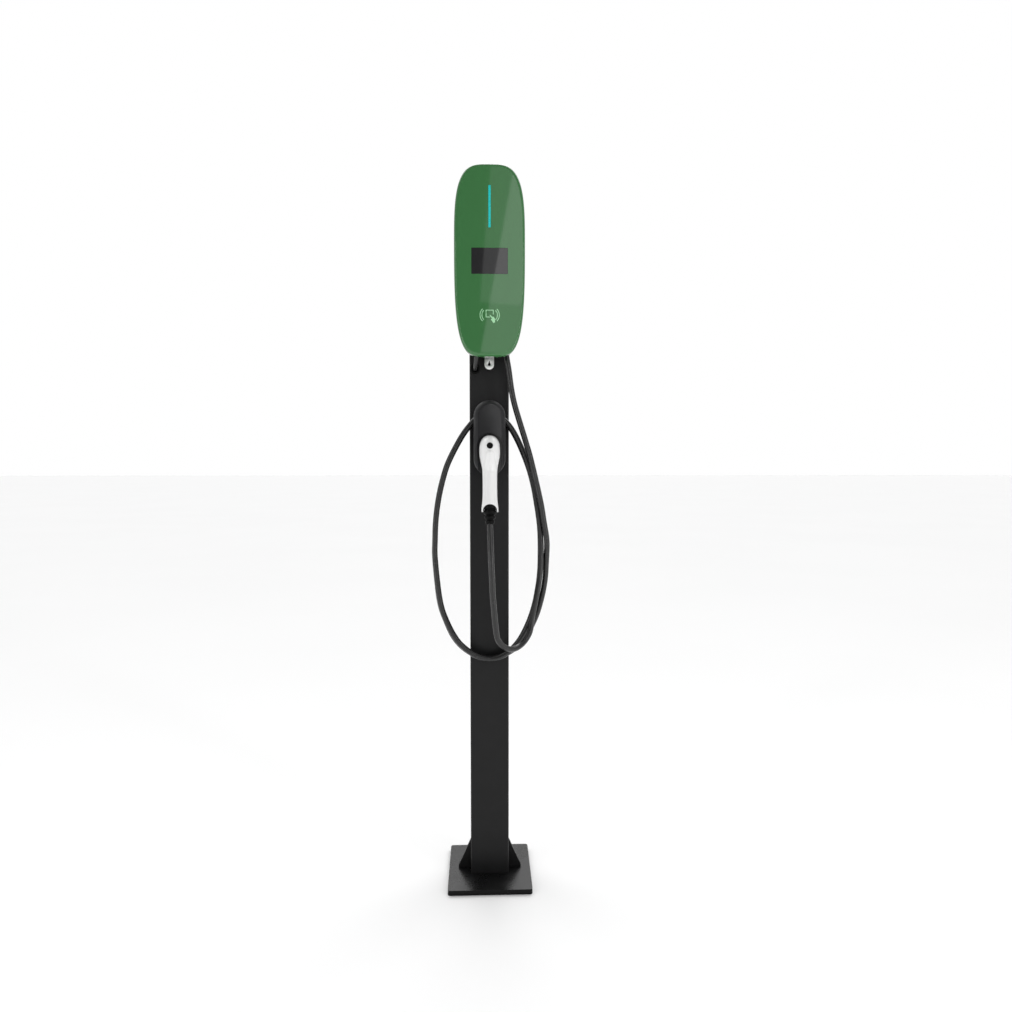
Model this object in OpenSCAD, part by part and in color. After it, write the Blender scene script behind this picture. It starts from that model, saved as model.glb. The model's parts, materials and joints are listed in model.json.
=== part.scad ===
// EV charging post: a steel column on a base plate, a wall-box head, a holder with
// a charging connector in it, and a charging cable hung over the holder in two turns.
// Millimetres. +Z is up, -Y is the front, the origin is under the middle of the base plate.

/* [Base] */
// Side of the square base plate
plate_side = 195; // [180:1:220]
// Thickness of the base plate
plate_t = 12; // [11:1:14]
// Corner radius of the base plate
plate_r = 6; // [3:1:12]
// Spacing of the four tapped fixing holes under the plate
fixing_pitch = 150; // [145:1:155]
// Radius of the tapped fixing holes
fixing_r = 4.25; // [3.4:0.05:5.1]
// Depth of the tapped fixing holes
fixing_depth = 8; // [6:1:9]
// Radius of the supply entry in the base plate
entry_r = 20; // [16:1:24]

/* [Column] */
// Width of the column
column_w = 90; // [86:1:94]
// Depth of the column, front to back
column_d = 64; // [60:1:66]
// Wall of the column
column_wall = 2.5; // [2:0.5:3]
// Outer corner radius of the column
column_r = 4; // [3:1:6]
// Height of the column's top end
column_top = 1574; // [1560:1:1580]
// Reach of each gusset from the middle of the column
gusset_reach = 75; // [70:1:85]
// Height of each gusset above the base plate
gusset_h = 72; // [60:1:90]
// Thickness of each gusset
gusset_t = 8; // [6:1:10]

/* [Head] */
// Width of the head
head_w = 151; // [148:1:154]
// Height of the head above its widest line
head_up = 179.5; // [178:0.5:185]
// Height of the head below its widest line
head_down = 221.5; // [220:0.5:223]
// Height of the head's widest line
head_z = 1438.5; // [1436:0.5:1440]
// Wall of the front cover and of the rear casing
shell_t = 3; // [2.5:0.5:3]
// Width of the screen window
screen_w = 77; // [70:1:80]
// Height of the screen window
screen_h = 54; // [50:1:58]
// Height of the screen window's middle
screen_z = 1416; // [1410:1:1418]
// Width of the light line
light_w = 5; // [4:0.5:6]
// Length of the light line
light_h = 87; // [80:1:92]
// Height of the light line's middle
light_z = 1529; // [1522:0.5:1530]

/* [Holder] */
// Width of the holder's front shield
shield_w = 71; // [70:1:74]
// Height of the shield's upper round centre
shield_top_z = 1093; // [1088:0.5:1094]
// Height of the shield's lower round centre
shield_low_z = 997; // [995:0.5:999]
// Radius of the saddle that the cable lies on
saddle_r = 44.5; // [44:0.5:45]
// Width of the neck behind the shield
neck_w = 62; // [60:1:64]

/* [Connector] */
// Height of the connector nose's axis
nose_z = 1021.5; // [1021:0.5:1022]
// Radius of the connector nose
nose_r = 20; // [19:0.5:20]
// Radius of the release button
button_r = 6.5; // [6:0.25:6.5]
// Wall of the connector shell
gun_t = 2.5; // [2:0.5:2.5]

/* [Cable] */
// Outer diameter of the charging cable
cable_d = 13; // [12:0.5:13]
// Outer diameter of the supply lead
lead_d = 9; // [8:0.5:9.5]

/* [Hidden] */
$fn = 48;
eps = 0.1;
gap = 0.3;
face_y = -column_d / 2;
plate_top = plate_t;

// Planes of the holder, counted forward from the column's face
flange_y = face_y - 4;
shield_back_y = face_y - 36;
shield_front_y = face_y - 66;
socket_end_y = face_y - 12;

// Screws and pegs that hold the shield on the neck: [place across, height]
shield_screw_places = [[-8, 992], [8, 992]];
shield_peg_places = [[-8, 1080], [8, 1080]];

// Planes of the head
bracket_y = face_y - 3;
casing_back_y = bracket_y;
casing_front_y = face_y - 63;
cover_back_y = face_y - 60;
cover_rim_y = face_y - 90;
cover_front_y = face_y - 106;
bay_z = 1248;
head_n = 48;
boss_places = [[-46, 1560], [46, 1560], [-54, 1440], [54, 1440], [-46, 1284], [46, 1284]];
boss_r = 5;
screw_r = 2;

// Connector places
saddle_z = 1095.5 - cable_d / 2 - saddle_r;
button_z = 1026.3;
button_face_y = -148.5;
gun_front_y = -86;
pivot = [0, -110, 1037.8];
pivot_r = 1.5;
rib_y = -127;

// Height of the slot over the nose that the latch lever lies in
slot_h = 31;

// Lower end of the cable boot, and its lean towards the nose
boot_foot = [0, -147, 857];
boot_tilt = 9.6;

// Slot and grommet in the column's face: place across, height, and height of its opening
grommet_at = [-32, 1203.5];
grommet_h = 16;

// Glands: place across, place in depth
charge_gland = [38, -66];
supply_gland_at = [-29, -62];

// Route of the charging cable: from the gland under the head, round two hanging turns
// over the holder's neck, to the boot of the connector
CABLE_ROUTE = [
    [38, -66, 1255], [38, -66, 1230], [43, -69, 1198], [54, -73, 1128], [80, -77, 1040],
    [93, -77, 995], [114, -77, 905], [122, -74, 860], [130, -66, 812], [130, -55, 765],
    [128, -46, 720], [120, -42, 675], [106, -41, 630], [79, -41, 580], [44, -41, 549],
    [0, -41, 536], [-45, -42, 550], [-79, -42, 581], [-102, -42, 628], [-116, -42, 676],
    [-125, -43, 767], [-125, -43, 813], [-123, -44, 858], [-117, -44, 905], [-107, -44, 950],
    [-94, -45, 990], [-69, -45, 1039], [-48, -45, 1070], [-26, -45, 1091], [0, -45, 1098],
    [26, -45, 1091], [47, -45, 1070], [65, -45, 1039], [84, -46, 994], [97, -46, 953],
    [107, -47, 904], [115, -48, 847], [117, -49, 790], [115, -51, 732], [106, -53, 675],
    [92, -54, 628], [71, -55, 585], [48, -56, 558], [25, -56, 543], [0, -56, 538],
    [-25, -56, 543], [-49, -56, 557], [-76, -56, 584], [-100, -56, 630], [-114, -57, 678],
    [-124, -57, 769], [-124, -58, 814], [-122, -58, 859], [-116, -58, 905], [-106, -58, 950],
    [-93, -59, 990], [-68, -59, 1039], [-47, -59, 1070], [-26, -59, 1091], [0, -59, 1098],
    [26, -59, 1091], [47, -59, 1070], [65, -59, 1039], [84, -60, 994], [97, -60, 953],
    [106, -61, 904], [114, -62, 847], [117, -64, 790], [114, -65, 732], [105, -68, 678],
    [96, -69, 633], [91, -74, 604], [75, -88, 583], [54, -108, 575], [33, -128, 583],
    [17, -142, 604], [12, -147, 633], [9, -150, 664], [6, -153, 700], [4, -156, 741],
    [2, -157, 790], [1, -153, 825], [0, -147, 856], [0, -145, 868]
];

// Route of the supply lead: gland, into the column through its grommet, down to the foot
LEAD_ROUTE = [
    [-29, -62, 1255], [-29, -62, 1247], [-29, -62, 1237], [-29.5, -60, 1225],
    [-30.5, -54, 1214], [-31.5, -46, 1207], [-32, -37, 1203.5], [-32, -27, 1202.5],
    [-32, -16, 1200.5], [-32, -5, 1194], [-32, 2, 1184], [-32, 5, 1170], [-31, 5, 1150],
    [-30, 2, 1120], [-30, -4, 1080], [-30, -8, 1030], [-30, -8, 800], [-30, -8, 600],
    [-30, -8, 400], [-30, -8, 200], [-30, -8, 60]
];

// Sections of the connector's body from its foot up:
// [height, middle in depth, half width, half depth, corner power]
GUN_SECTIONS = [
    [884, -142, 18.2, 19, 2.2], [893, -140.5, 18, 19, 2.2], [905, -138.5, 16.6, 18.2, 2.2],
    [920, -136, 15.8, 17.8, 2.2], [940, -132.6, 15.7, 18, 2.2], [955, -129.5, 15.8, 18.8, 2.2],
    [966, -126, 16, 20.6, 2.2], [975, -120, 16.6, 25.5, 2.2], [985, -108, 18.6, 37.5, 2.3],
    [995, -99, 21, 47, 2.4], [1004, -96, 22.6, 50.5, 2.4], [1013, -95, 23.1, 51.8, 2.4],
    [1022, -95, 22.9, 51.6, 2.4], [1031, -95, 21.6, 49.5, 2.4], [1038, -95, 19, 45, 2.4],
    [1044, -95, 14.8, 38, 2.4], [1048, -95, 9, 28, 2.4], [1049.3, -95, 4, 15, 2.4]
];

// ---------- shared helpers ----------

// Extrudes a shape drawn in X and Z from depth y0 to depth y1
module slab(y0, y1) {
    translate([0, y1, 0])
        rotate([90, 0, 0])
            linear_extrude(y1 - y0)
                children();
}

// A round bar along Y at [x, z], from depth y0 to depth y1
module rod(at, y0, y1, r) {
    translate([at[0], y1, at[1]])
        rotate([90, 0, 0])
            cylinder(h = y1 - y0, r = r);
}

// A box given by its lowest and highest corners
module box(low, high) {
    translate(low)
        cube(high - low);
}

// A flat shape with rounded corners, from square and circle only
module rounded(w, h, r) {
    union() {
        square([w - 2 * r, h], center = true);
        square([w, h - 2 * r], center = true);
        for (sx = [-1, 1], sy = [-1, 1])
            translate([sx * (w / 2 - r), sy * (h / 2 - r)])
                circle(r);
    }
}

// A closed skin over rings of points, each ring counter-clockwise seen from the last ring's side
module skin(rings) {
    n = len(rings[0]);
    last = len(rings) - 1;
    points = [for (ring = rings) for (p = ring) p];
    first_cap = [for (j = [0:n - 1]) j];
    last_cap = [for (j = [n - 1:-1:0]) last * n + j];
    sides = [
        for (i = [0:last - 1], j = [0:n - 1])
            [i * n + j, (i + 1) * n + j, (i + 1) * n + (j + 1) % n, i * n + (j + 1) % n]
    ];
    polyhedron(points, concat([first_cap], sides, [last_cap]));
}

function power(v, p) = sign(v) * pow(abs(v), p);

// Outline of the head, drawn in by inset, at depth y
function head_ring(y, inset, low = 0) = [
    for (j = [0:head_n - 1])
        let (
            a = 360 * j / head_n,
            up = sin(a) >= 0,
            x = (head_w / 2 - inset) * power(cos(a), up ? 2 / 3.6 : 2 / 4.6),
            z = (up ? head_up - inset : head_down - inset) * power(sin(a), up ? 2 / 3.6 : 2 / 3)
        )
        [x, y, max(head_z + z, low)]
];

module head_form(steps, low = 0) {
    skin([for (s = steps) head_ring(s[0], s[1], low)]);
}

// Body of the connector, drawn in by inset
function gun_ring(s, inset) = [
    for (j = [0:23])
        let (a = 15 * j, p = 2 / s[4])
        [
            max(s[2] - inset, 0.5) * power(cos(a), p),
            s[1] + max(s[3] - inset, 1) * power(sin(a), p),
            s[0]
        ]
];

module gun_form(inset, drop = 0) {
    skin([for (s = GUN_SECTIONS) gun_ring([s[0] - drop, s[1], s[2], s[3], s[4]], inset)]);
}

// A point on a smooth curve through the points p, at place t from 0 to len(p) - 1
function on_curve(p, t) =
    let (
        last = len(p) - 1,
        i = min(floor(t), last - 1),
        f = t - i,
        a = p[max(i - 1, 0)],
        b = p[i],
        c = p[i + 1],
        d = p[min(i + 2, last)]
    )
    0.5 * (2 * b + (c - a) * f + (2 * a - 5 * b + 4 * c - d) * f * f
        + (3 * b - a - 3 * c + d) * f * f * f);

function unit(v) = v / norm(v);

// Ring of a tube at place t of a route, with across as the direction that never lies along it
function tube_ring(route, t, r, sides, across) =
    let (
        step = 0.05,
        last = len(route) - 1,
        ahead = on_curve(route, min(t + step, last)),
        behind = on_curve(route, max(t - step, 0)),
        along = unit(ahead - behind),
        u = unit(cross(across, along)),
        v = cross(along, u),
        middle = on_curve(route, t)
    )
    [for (j = [0:sides - 1]) middle + r * (cos(360 * j / sides) * u + sin(360 * j / sides) * v)];

// A tube along a route, with a ring at each of the route's points
module tube(route, r, sides, across) {
    skin([for (i = [0:len(route) - 1]) tube_ring(route, i, r, sides, across)]);
}

// A round head and a shank along Y; the head's underside is at y, and the shank runs to +Y
module screw_in(at, y, head_r, head_h, shank_r, shank_l) {
    rod(at, y - head_h, y, head_r);
    rod(at, y - head_h / 2, y + shank_l, shank_r);
}

// ---------- post ----------

module base_plate() {
    color([0.3, 0.3, 0.31])
        difference() {
            linear_extrude(plate_t)
                rounded(plate_side, plate_side, plate_r);
            translate([0, 0, -1])
                cylinder(h = plate_t + 2, r = entry_r);
            for (sx = [-1, 1], sy = [-1, 1])
                translate([sx * fixing_pitch / 2, sy * fixing_pitch / 2, -1])
                    cylinder(h = fixing_depth + 1, r = fixing_r);
        }
}

bracket_holes = [[-30, 1330], [30, 1330], [-30, 1540], [30, 1540]];
holder_holes = [[-24, 999], [24, 999], [-20, 1068], [20, 1068]];

module column() {
    inner_r = max(column_r - column_wall, 0.5);
    color([0.16, 0.16, 0.17])
        difference() {
            translate([0, 0, plate_top])
                linear_extrude(column_top - plate_top)
                    difference() {
                        rounded(column_w, column_d, column_r);
                        rounded(column_w - 2 * column_wall, column_d - 2 * column_wall, inner_r);
                    }
            // Slot for the supply lead's grommet
            slab(face_y - 1, face_y + column_wall + 1)
                translate(grommet_at)
                    rounded(16, grommet_h + 4, 7.9);
            for (at = concat(bracket_holes, holder_holes))
                rod(at, face_y - 1, face_y + column_wall + 1, 4.6);
        }
}

module column_gussets() {
    side_x = column_w / 2;
    color([0.13, 0.13, 0.14])
        for (s = [-1, 1])
            slab(-gusset_t / 2, gusset_t / 2)
                polygon([
                    [s * side_x, plate_top], [s * gusset_reach, plate_top],
                    [s * gusset_reach, plate_top + 5], [s * side_x, plate_top + gusset_h]
                ]);
}

module column_cap() {
    plug = 2 * column_wall + 2 * gap;
    color([0.08, 0.08, 0.08]) {
        translate([0, 0, column_top])
            linear_extrude(4)
                rounded(column_w, column_d, column_r);
        translate([0, 0, column_top - 14])
            linear_extrude(14 + eps)
                difference() {
                    rounded(column_w - plug, column_d - plug, 2);
                    rounded(column_w - plug - 5, column_d - plug - 5, 1);
                }
    }
}

module column_grommet() {
    lip_y = face_y - 2.5;
    color([0.05, 0.05, 0.05])
        difference() {
            union() {
                slab(lip_y, face_y)
                    translate(grommet_at)
                        rounded(20, grommet_h + 8, 9.9);
                slab(face_y - eps, face_y + column_wall)
                    translate(grommet_at)
                        rounded(15.6, grommet_h + 3.6, 7.7);
                slab(face_y + column_wall, face_y + column_wall + 2)
                    translate(grommet_at)
                        rounded(18, grommet_h + 6, 8.9);
            }
            slab(lip_y - 1, face_y + column_wall + 3)
                translate(grommet_at)
                    rounded(12, grommet_h, 5.8);
        }
}

module rivet_nuts() {
    color([0.75, 0.75, 0.76])
        for (at = concat(bracket_holes, holder_holes))
            difference() {
                rod(at, face_y + 0.2, face_y + 14, 4.4);
                rod(at, face_y - 1, face_y + 15, 2.6);
            }
}

// ---------- head ----------

module head_bracket() {
    hook_z = 1560;
    color([0.2, 0.2, 0.21])
        difference() {
            union() {
                slab(bracket_y, face_y)
                    translate([0, 1435])
                        rounded(84, 300, 8);
                for (sx = [-1, 1]) {
                    box([sx * 14 - 7, bracket_y - 7, hook_z], [sx * 14 + 7, bracket_y + eps, hook_z + 3]);
                    box([sx * 14 - 7, bracket_y - 7, hook_z], [sx * 14 + 7, bracket_y - 4, hook_z + 12]);
                }
            }
            for (at = bracket_holes)
                rod(at, bracket_y - 1, face_y + 1, 2.8);
        }
}

module bracket_screws() {
    color([0.7, 0.7, 0.72])
        for (at = bracket_holes)
            screw_in(at, bracket_y, 4.2, 2.4, 2.5, 16);
}

// Steps of the head's forms: [depth, inset]
casing_outer = [[casing_back_y, 13], [casing_back_y - 5, 10], [casing_front_y, 7.5]];
casing_inner = [
    [casing_back_y - shell_t, 13 + shell_t], [casing_back_y - 6, 10 + shell_t],
    [casing_front_y - 1, 7.5 + shell_t]
];
cover_outer = [
    [cover_back_y, 3.5], [cover_back_y - 18, 0.8], [cover_rim_y, 0], [cover_rim_y - 5, 0.8],
    [cover_rim_y - 9, 3.2], [cover_rim_y - 11.5, 6.5], [cover_front_y + 2.5, 11],
    [cover_front_y + 1, 28], [cover_front_y, 52]
];
cover_inner = [
    [cover_back_y + 1, 3.5 + shell_t], [cover_back_y - 18, 0.8 + shell_t],
    [cover_rim_y - 3, shell_t + 0.6], [cover_rim_y - 8, shell_t + 6],
    [cover_front_y + 5.5, shell_t + 11], [cover_front_y + 4, 28], [cover_front_y + 3, 52]
];

module rear_casing() {
    color([0.1, 0.1, 0.1])
        difference() {
            union() {
                difference() {
                    head_form(casing_outer, bay_z);
                    head_form(casing_inner, bay_z + shell_t);
                    // Slots that the bracket's hooks reach through
                    for (sx = [-1, 1])
                        box([sx * 14 - 9, casing_back_y - 4, 1557], [sx * 14 + 9, casing_back_y + 1, 1574]);
                }
                for (at = boss_places)
                    rod(at, casing_front_y, casing_back_y - 1, boss_r);
            }
            for (at = boss_places) {
                rod(at, casing_front_y - 1, casing_back_y + 1, screw_r + 0.3);
                rod(at, casing_front_y + 12, casing_back_y + 1, 3.9);
            }
            // Room for the heads of the bracket's screws
            for (at = bracket_holes)
                rod(at, casing_back_y - 4, casing_back_y + 1, 5);
            floor_hole(charge_gland, 8.2);
            floor_hole(supply_gland_at, 6.4);
            for (sx = [-1, 1])
                floor_hole([sx * 6, face_y - 9], 1.6);
        }
}

module floor_hole(at, r) {
    translate([at[0], at[1], bay_z - 1])
        cylinder(h = shell_t + 2, r = r);
}

module casing_gasket() {
    color([0.15, 0.15, 0.15])
        slab(casing_front_y - 2, casing_front_y)
            difference() {
                polygon([for (p = head_ring(0, 7.7, bay_z + 0.2)) [p[0], p[2]]]);
                polygon([for (p = head_ring(0, 10.3, bay_z + 2.8)) [p[0], p[2]]]);
            }
}

module front_cover() {
    color([0.25, 0.47, 0.29])
        difference() {
            union() {
                difference() {
                    head_form(cover_outer);
                    head_form(cover_inner);
                }
                // Flange that presses on the gasket
                slab(casing_front_y - 5, casing_front_y - 2)
                    difference() {
                        polygon([for (p = head_ring(0, 4.5)) [p[0], p[2]]]);
                        polygon([for (p = head_ring(0, 10.6, bay_z + 3)) [p[0], p[2]]]);
                    }
                for (at = boss_places)
                    rod(at, cover_front_y + 2, casing_front_y - 2, 4.5);
            }
            for (at = boss_places)
                rod(at, casing_front_y - 22, casing_front_y, screw_r + 0.1);
            slab(cover_front_y - 2, cover_front_y + 12) {
                translate([0, light_z])
                    square([light_w + 0.4, light_h + 0.4], center = true);
                translate([0, screen_z])
                    square([screen_w + 0.4, screen_h + 0.4], center = true);
            }
        }
}

module cover_screws() {
    color([0.7, 0.7, 0.72])
        for (at = boss_places) {
            rod(at, casing_front_y - 14, casing_front_y + 12.2, screw_r);
            rod(at, casing_front_y + 12, casing_front_y + 15, 3.5);
        }
}

module lock_tab() {
    leg_y = face_y - 18;
    color([0.78, 0.78, 0.79])
        difference() {
            union() {
                slab(leg_y, leg_y + 3)
                    union() {
                        translate([0, 1210.5])
                            circle(10.5);
                        translate([-10.5, 1210.5])
                            square([21, bay_z - 1210.5]);
                    }
                box([-10.5, leg_y, bay_z - 3], [10.5, leg_y + 14, bay_z]);
            }
            slab(leg_y - 1, leg_y + 4)
                union() {
                    translate([0, 1211])
                        circle(3);
                    polygon([[-2.8, 1212.2], [2.8, 1212.2], [0.6, 1219], [-0.6, 1219]]);
                }
            for (sx = [-1, 1])
                translate([sx * 6, leg_y + 9, bay_z - 4])
                    cylinder(h = 5, r = 1.7);
        }
}

module lock_tab_rivets() {
    leg_y = face_y - 18;
    color([0.6, 0.6, 0.62])
        for (sx = [-1, 1])
            translate([sx * 6, leg_y + 9, bay_z - 4.5]) {
                cylinder(h = 1.5, r = 2.8);
                cylinder(h = 8.7, r = 1.5);
                translate([0, 0, 7.6])
                    cylinder(h = 1.2, r = 2.6);
            }
}

module light_bar() {
    color([0.2, 0.8, 0.82])
        slab(cover_front_y, cover_front_y + 8)
            translate([0, light_z])
                square([light_w, light_h], center = true);
}

module light_board() {
    board_y = cover_front_y + 9.5;
    color([0.1, 0.35, 0.2]) {
        slab(board_y, board_y + 1.6)
            translate([0, light_z])
                square([14, light_h + 8], center = true);
        for (i = [-3:3])
            slab(board_y - 1, board_y + eps)
                translate([0, light_z + i * 12])
                    square([3.4, 3.4], center = true);
    }
}

module screen_window() {
    color([0.2, 0.2, 0.21])
        slab(cover_front_y, cover_front_y + 2)
            translate([0, screen_z])
                square([screen_w, screen_h], center = true);
}

module display_module() {
    display_y = cover_front_y + 4.5;
    color([0.12, 0.12, 0.14]) {
        slab(display_y, display_y + 5)
            translate([0, screen_z])
                square([screen_w + 4, screen_h + 6], center = true);
        slab(display_y + 5 - eps, display_y + 7)
            translate([0, screen_z])
                square([screen_w + 8, screen_h + 10], center = true);
    }
}

// One stroke of the tap symbol's waves: an arc of half angle 45 degrees
module wave(r, side) {
    reach = r + 2;
    intersection() {
        difference() {
            circle(r + 0.9);
            circle(r - 0.9);
        }
        polygon([[0, 0], [side * reach, reach], [side * reach, -reach]]);
    }
}

symbol_z = 1303;

// Waves each side of a card, with a hand that points at the card's corner
module tap_symbol() {
    card_w = 17;
    card_h = 16;
    line_w = 1.6;
    color([0.62, 0.85, 0.66])
        slab(cover_front_y - 0.4, cover_front_y)
            translate([0, symbol_z]) {
                for (side = [-1, 1])
                    translate([side * 2.5, 0]) {
                        wave(14, side);
                        wave(18, side);
                    }
                difference() {
                    translate([0, 3])
                        difference() {
                            square([card_w, card_h], center = true);
                            square([card_w - 2 * line_w, card_h - 2 * line_w], center = true);
                        }
                    // Corner that the hand lies over
                    translate([2, -12])
                        square([12, 12]);
                }
                polygon([
                    [0, 0], [1.6, -0.6], [6.4, -4.6], [8.8, -4.2], [11.4, -15], [8.2, -17],
                    [3, -9.4], [4, -6.8]
                ]);
            }
}

module card_antenna() {
    antenna_y = cover_front_y + 5;
    color([0.1, 0.3, 0.35])
        slab(antenna_y, antenna_y + 1.6)
            translate([0, symbol_z])
                difference() {
                    square([56, 44], center = true);
                    square([36, 24], center = true);
                }
}

module main_board() {
    board_y = face_y - 62;
    color([0.1, 0.32, 0.18]) {
        slab(board_y, board_y + 1.6)
            translate([0, 1452])
                square([92, 150], center = true);
        // Relay, capacitors and connectors on the front of the board
        box([-40, board_y - 18, 1390], [-14, board_y + eps, 1408]);
        box([-6, board_y - 11, 1384], [40, board_y + eps, 1396]);
        for (i = [0:2])
            rod([-34 + i * 14, 1428], board_y - 20, board_y + eps, 5);
        box([-40, board_y - 4, 1450], [-10, board_y + eps, 1480]);
        for (i = [0:3])
            box([8, board_y - 9, 1430 + i * 14], [30, board_y + eps, 1440 + i * 14]);
        box([-36, board_y - 12, 1500], [36, board_y + eps, 1512]);
        for (sx = [-1, 1], sz = [-1, 1])
            rod([sx * 42, 1452 + sz * 68], board_y + 1.5, component_y, 3);
    }
}

component_y = face_y - 9;

module component_plate() {
    color([0.66, 0.68, 0.7])
        slab(component_y, component_y + 2)
            difference() {
                translate([0, 1408])
                    square([92, 280], center = true);
                for (at = boss_places)
                    translate(at)
                        circle(boss_r + 1);
            }
}

module contactor() {
    color([0.82, 0.83, 0.8]) {
        box([-38, component_y - 38, 1300], [0, component_y, 1366]);
        box([-32, component_y - 44, 1312], [-6, component_y - 38 + eps, 1354]);
        for (x = [-30, -8], z = [1304, 1362])
            rod([x, z], component_y - 40, component_y - 37.5, 3);
    }
}

module current_sensor() {
    color([0.12, 0.12, 0.13])
        difference() {
            union() {
                translate([26, component_y - 24, 1316])
                    cylinder(h = 14, r = 18);
                box([14, component_y - 14, 1316], [38, component_y, 1330]);
            }
            translate([26, component_y - 24, 1315])
                cylinder(h = 16, r = 8);
        }
}

module terminal_block() {
    color([0.35, 0.42, 0.36])
        for (i = [0:4])
            difference() {
                box([-36 + i * 9.2, component_y - 26, 1272], [-27.3 + i * 9.2, component_y, 1296]);
                rod([-31.6 + i * 9.2, 1284], component_y - 27, component_y - 18, 2.6);
            }
}

module earth_stud() {
    color([0.76, 0.68, 0.36]) {
        rod([30, 1292], component_y - 16, component_y - eps, 3);
        rod([30, 1292], component_y - 6, component_y - eps, 6);
        rod([30, 1292], component_y - 12, component_y - 8, 5.5);
    }
}

// Body of a cable gland: thread through the casing floor, collar under it, lock nut above it
module gland_body(at, bore_r, thread_r, collar_r) {
    translate([at[0], at[1], 0])
        difference() {
            union() {
                translate([0, 0, bay_z - 4])
                    cylinder(h = 4, r = collar_r);
                translate([0, 0, bay_z - 12])
                    cylinder(h = 8.2, r = thread_r);
                translate([0, 0, bay_z - eps])
                    cylinder(h = shell_t + 9, r = thread_r);
                translate([0, 0, bay_z + shell_t])
                    cylinder(h = 4, r = collar_r);
            }
            translate([0, 0, bay_z - 13])
                cylinder(h = 30, r = bore_r);
        }
}

// Domed nut of a cable gland, with its seal gripping the cable at its lower end
module gland_nut(at, bore_r, thread_r, nut_r) {
    translate([at[0], at[1], 0])
        difference() {
            union() {
                translate([0, 0, bay_z - 13])
                    cylinder(h = 8.5, r = nut_r);
                translate([0, 0, bay_z - 18])
                    cylinder(h = 5.1, r1 = bore_r + 1.6, r2 = nut_r);
            }
            translate([0, 0, bay_z - 12.5])
                cylinder(h = 10, r = thread_r + 0.1);
            translate([0, 0, bay_z - 19])
                cylinder(h = 8, r = bore_r);
        }
}

module charging_gland() {
    color([0.1, 0.1, 0.1])
        gland_body(charge_gland, cable_d / 2, 8, 9.5);
}

module charging_gland_nut() {
    color([0.12, 0.12, 0.12])
        gland_nut(charge_gland, cable_d / 2 - 0.6, 8, 9.5);
}

module supply_gland() {
    color([0.1, 0.1, 0.1])
        gland_body(supply_gland_at, lead_d / 2 + gap, 6.2, 8.5);
}

module supply_gland_nut() {
    color([0.12, 0.12, 0.12])
        gland_nut(supply_gland_at, lead_d / 2 - 0.5, 6.2, 8);
}

// ---------- cables ----------

module supply_lead() {
    color([0.3, 0.3, 0.3])
        tube(LEAD_ROUTE, lead_d / 2, 10, [1, 0, 0]);
}

module lead_cores() {
    foot = LEAD_ROUTE[len(LEAD_ROUTE) - 1];
    color([0.7, 0.55, 0.2])
        for (i = [0:2])
            translate([foot[0] + 2.4 * cos(120 * i), foot[1] + 2.4 * sin(120 * i), 22])
                cylinder(h = foot[2] - 22 - 0.5, r = 1.5);
}

module charging_cable() {
    color([0.13, 0.13, 0.13])
        difference() {
            tube(CABLE_ROUTE, cable_d / 2, 8, [0, 1, 0]);
            // Level end face, just under the boot's foot
            box([-20, -170, boot_foot[2] - gap], [20, -120, boot_foot[2] + 20]);
        }
}

// ---------- holder ----------

// Neck behind the shield, drawn in by inset: a saddle on a straight block
module neck_outline(inset) {
    width = neck_w - 2 * inset;
    foot_z = 988 + inset;
    intersection() {
        translate([0, saddle_z])
            circle(saddle_r - inset);
        translate([-width / 2, foot_z])
            square([width, 200]);
    }
    translate([-width / 2, foot_z])
        square([width, 28]);
}

module shield_outline(inset) {
    r = shield_w / 2 - inset;
    union() {
        translate([0, shield_top_z])
            circle(r);
        translate([0, shield_low_z])
            circle(r);
        translate([-r, shield_low_z])
            square([2 * r, shield_top_z - shield_low_z]);
    }
}

module liner_outline(grow) {
    translate([0, nose_z])
        circle(nose_r + 3.6 + grow);
    translate([-8 - grow, nose_z])
        square([16 + 2 * grow, slot_h + grow]);
}

module holder_base() {
    wall = 3.5;
    color([0.11, 0.11, 0.11])
        difference() {
            union() {
                slab(flange_y, face_y)
                    intersection() {
                        shield_outline(1.5);
                        translate([-40, 975])
                            square([80, 140]);
                    }
                slab(shield_back_y, flange_y + eps)
                    neck_outline(0);
            }
            // Hollow behind the neck, with the socket's wall and the screw bosses left standing
            slab(shield_back_y + wall, face_y + 1)
                difference() {
                    neck_outline(wall);
                    liner_outline(wall);
                    for (at = concat(holder_holes, shield_screw_places))
                        translate(at)
                            circle(7);
                }
            slab(shield_back_y - 1, socket_end_y - 2)
                liner_outline(0.2);
            for (at = holder_holes) {
                rod(at, shield_back_y - 1, face_y + 1, 2.7);
                rod(at, shield_back_y - 1, flange_y - 4, 4.6);
            }
            for (at = shield_screw_places)
                rod(at, shield_back_y - 1, shield_back_y + 12, 1.6);
            for (at = shield_peg_places)
                rod(at, shield_back_y - 1, shield_back_y + wall + 1, 3.2);
        }
}

module holder_screws() {
    color([0.7, 0.7, 0.72])
        for (at = holder_holes)
            screw_in(at, flange_y - 4, 4.2, 3, 2.5, 20);
}

// Recess for the connector's head, open downwards for its handle
module recess_outline(r) {
    translate([0, button_z])
        circle(r);
    polygon([[-r, button_z], [-r + 5, 940], [r - 5, 940], [r, button_z]]);
}

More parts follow.
